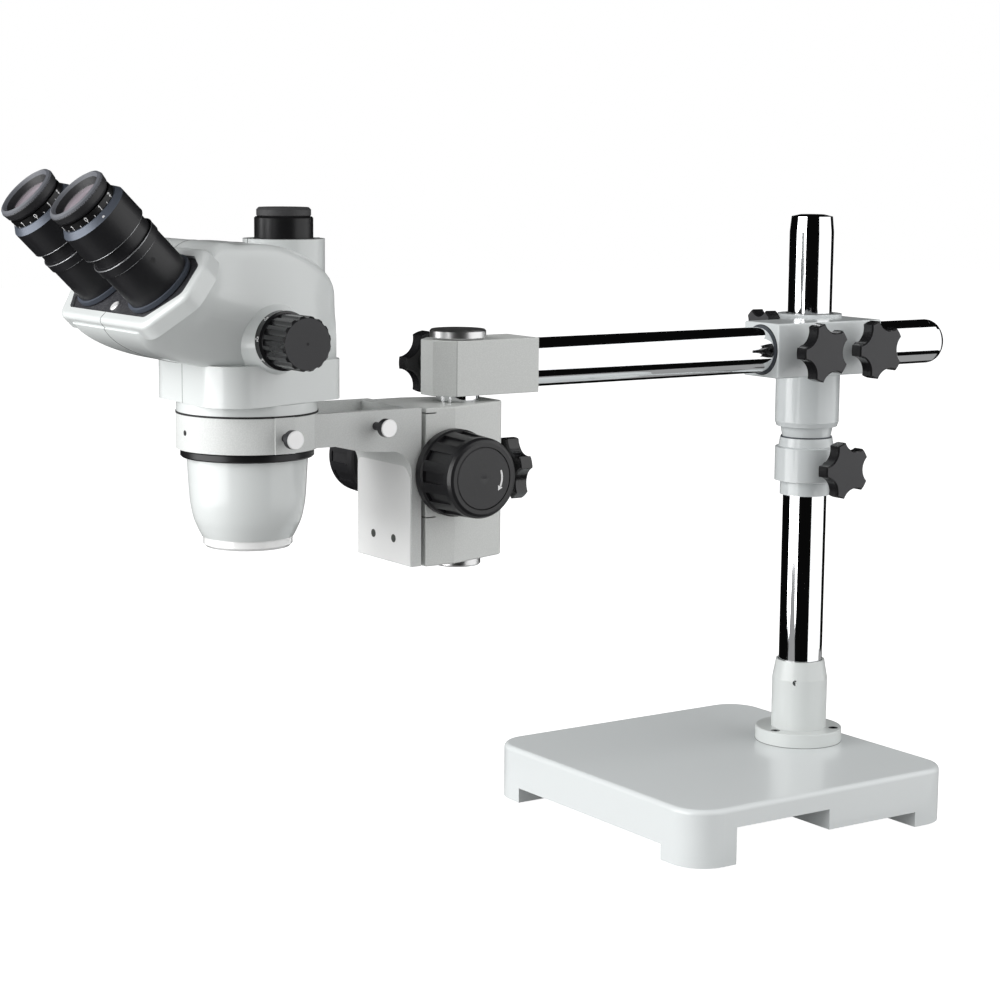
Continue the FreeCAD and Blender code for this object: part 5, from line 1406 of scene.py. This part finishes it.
@dataclass
class Studio:
    """Floor, table card, surroundings, lights and camera.

    Attributes:
        lamps: The soft lights.
        azimuth: The camera's bearing in degrees.
        elevation: How far the camera looks down, in degrees.
        roll: The camera's roll in degrees.
        focal: Focal length in pixels of a picture a thousand pixels wide.
        eye: Where the camera stands, in millimetres from the foot of the post.
        fill: Strength of the surroundings on surfaces that scatter light.
        mirrored: Their strength in reflections.
    """

    lamps: tuple[Lamp, ...] = (
        Lamp("right_box", (0.985, -0.87, 0.88), (0.265, 0.0, 0.88), (2.0, 2.45), 20.0),
        Lamp("right_sheen", (0.985, -0.87, 0.88), (0.265, 0.0, 0.88), (2.0, 2.45), 10.0, False),
        Lamp("left_box", (-1.735, 0.275, 0.75), (0.0, 0.1, 0.75), (2.05, 2.1), 60.0),
    )
    azimuth: float = -34.422
    elevation: float = 8.477
    roll: float = 0.495
    focal: float = 2397.57
    eye: Triple = (-1175.49, -1317.61, 480.69)
    fill: float = 0.45
    mirrored: float = 0.003

    def build(self) -> None:
        """Set up everything round the object."""
        for lamp in self.lamps:
            lamp.build()
        self.floor()
        self.table()
        self.world()
        self.camera()

    def floor(self) -> None:
        """Lay a pale floor that the camera sees as plain white."""
        bpy.ops.mesh.primitive_plane_add(size=12.0, location=(0.0, 0.0, -0.0005))
        plane = bpy.context.object
        plane.name = "studio_floor"
        material, shader = fresh("studio_white")
        fill(shader, {"Base Color": (0.35, 0.35, 0.35, 1.0), "Roughness": 0.9,
                      "Emission Color": WHITE})
        rays = material.node_tree.nodes.new("ShaderNodeLightPath")
        wire(rays, "Is Camera Ray", shader, "Emission Strength")
        plane.data.materials.append(material)
        plane.visible_glossy = False

    def table(self) -> None:
        """Lay a grey card under the boom that only the glossy surfaces see."""
        grey, shader = fresh("studio_card")
        fill(shader, {"Base Color": (0.0, 0.0, 0.0, 1.0), "Roughness": 1.0,
                      "Specular IOR Level": 0.0, "Emission Color": WHITE,
                      "Emission Strength": 0.33})
        bpy.ops.mesh.primitive_plane_add(size=1.0, location=(0.0, 0.0, -0.002))
        card = bpy.context.object
        card.name = "studio_table"
        card.scale = (1.6, 0.34, 1.0)
        card.data.materials.append(grey)
        for kind in ("camera", "diffuse", "shadow", "transmission"):
            setattr(card, f"visible_{kind}", False)

    def world(self) -> None:
        """Light the surroundings: white to the camera, pale grey to the object."""
        world = bpy.data.worlds.new("studio_world")
        bpy.context.scene.world = world
        world.use_nodes = True
        nodes = world.node_tree.nodes
        back = nodes["Background"]
        rays = nodes.new("ShaderNodeLightPath")
        level = nodes.new("ShaderNodeMapRange")
        fill(level, {"To Min": self.fill, "To Max": self.mirrored})
        fill(back, {"Color": WHITE})
        wire(rays, "Is Glossy Ray", level, "Value")
        seen = nodes.new("ShaderNodeMath")
        seen.operation = "MULTIPLY_ADD"
        fill(seen, {1: 1.0 - self.fill})
        wire(rays, "Is Camera Ray", seen, 0)
        wire(level, "Result", seen, 2)
        wire(seen, "Value", back, "Strength")

    def camera(self) -> None:
        """Place the camera that the photograph was solved for."""
        bearing = math.radians(self.azimuth)
        tilt = math.radians(self.elevation)
        ahead = Vector((-math.sin(bearing) * math.cos(tilt), math.cos(bearing) * math.cos(tilt),
                        -math.sin(tilt)))
        right = Vector((math.cos(bearing), math.sin(bearing), 0.0))
        up = right.cross(ahead)
        lean = math.radians(self.roll)
        right_turned = right * math.cos(lean) + up * math.sin(lean)
        up_turned = up * math.cos(lean) - right * math.sin(lean)
        data = bpy.data.cameras.new("photo_camera")
        data.sensor_width = 36.0
        data.lens = self.focal * 36.0 / 1000.0
        data.clip_end = 50.0
        camera = bpy.data.objects.new("photo_camera", data)
        bpy.context.scene.collection.objects.link(camera)
        turn = Matrix((right_turned, up_turned, -ahead)).transposed()
        camera.matrix_world = Matrix.Translation(row(*self.eye)) @ turn.to_4x4()
        bpy.context.scene.camera = camera


def main() -> None:
    """Build every sub-assembly in order and report each one."""
    logging.basicConfig(level=logging.INFO, format="%(name)s: %(message)s")
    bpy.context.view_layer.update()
    scene = bpy.context.scene
    scene.view_settings.view_transform = "Standard"
    shop = Workshop()
    marker = Marker(shop)
    for piece in (Stand(shop, marker), Knobs(shop), Boom(shop, marker),
                  FocusMount(shop, marker), Head(shop, marker), Eyepieces(shop, marker),
                  Studio()):
        piece.build()
        log.info("built %s", type(piece).__name__)


if __name__ == "__main__":
    main()
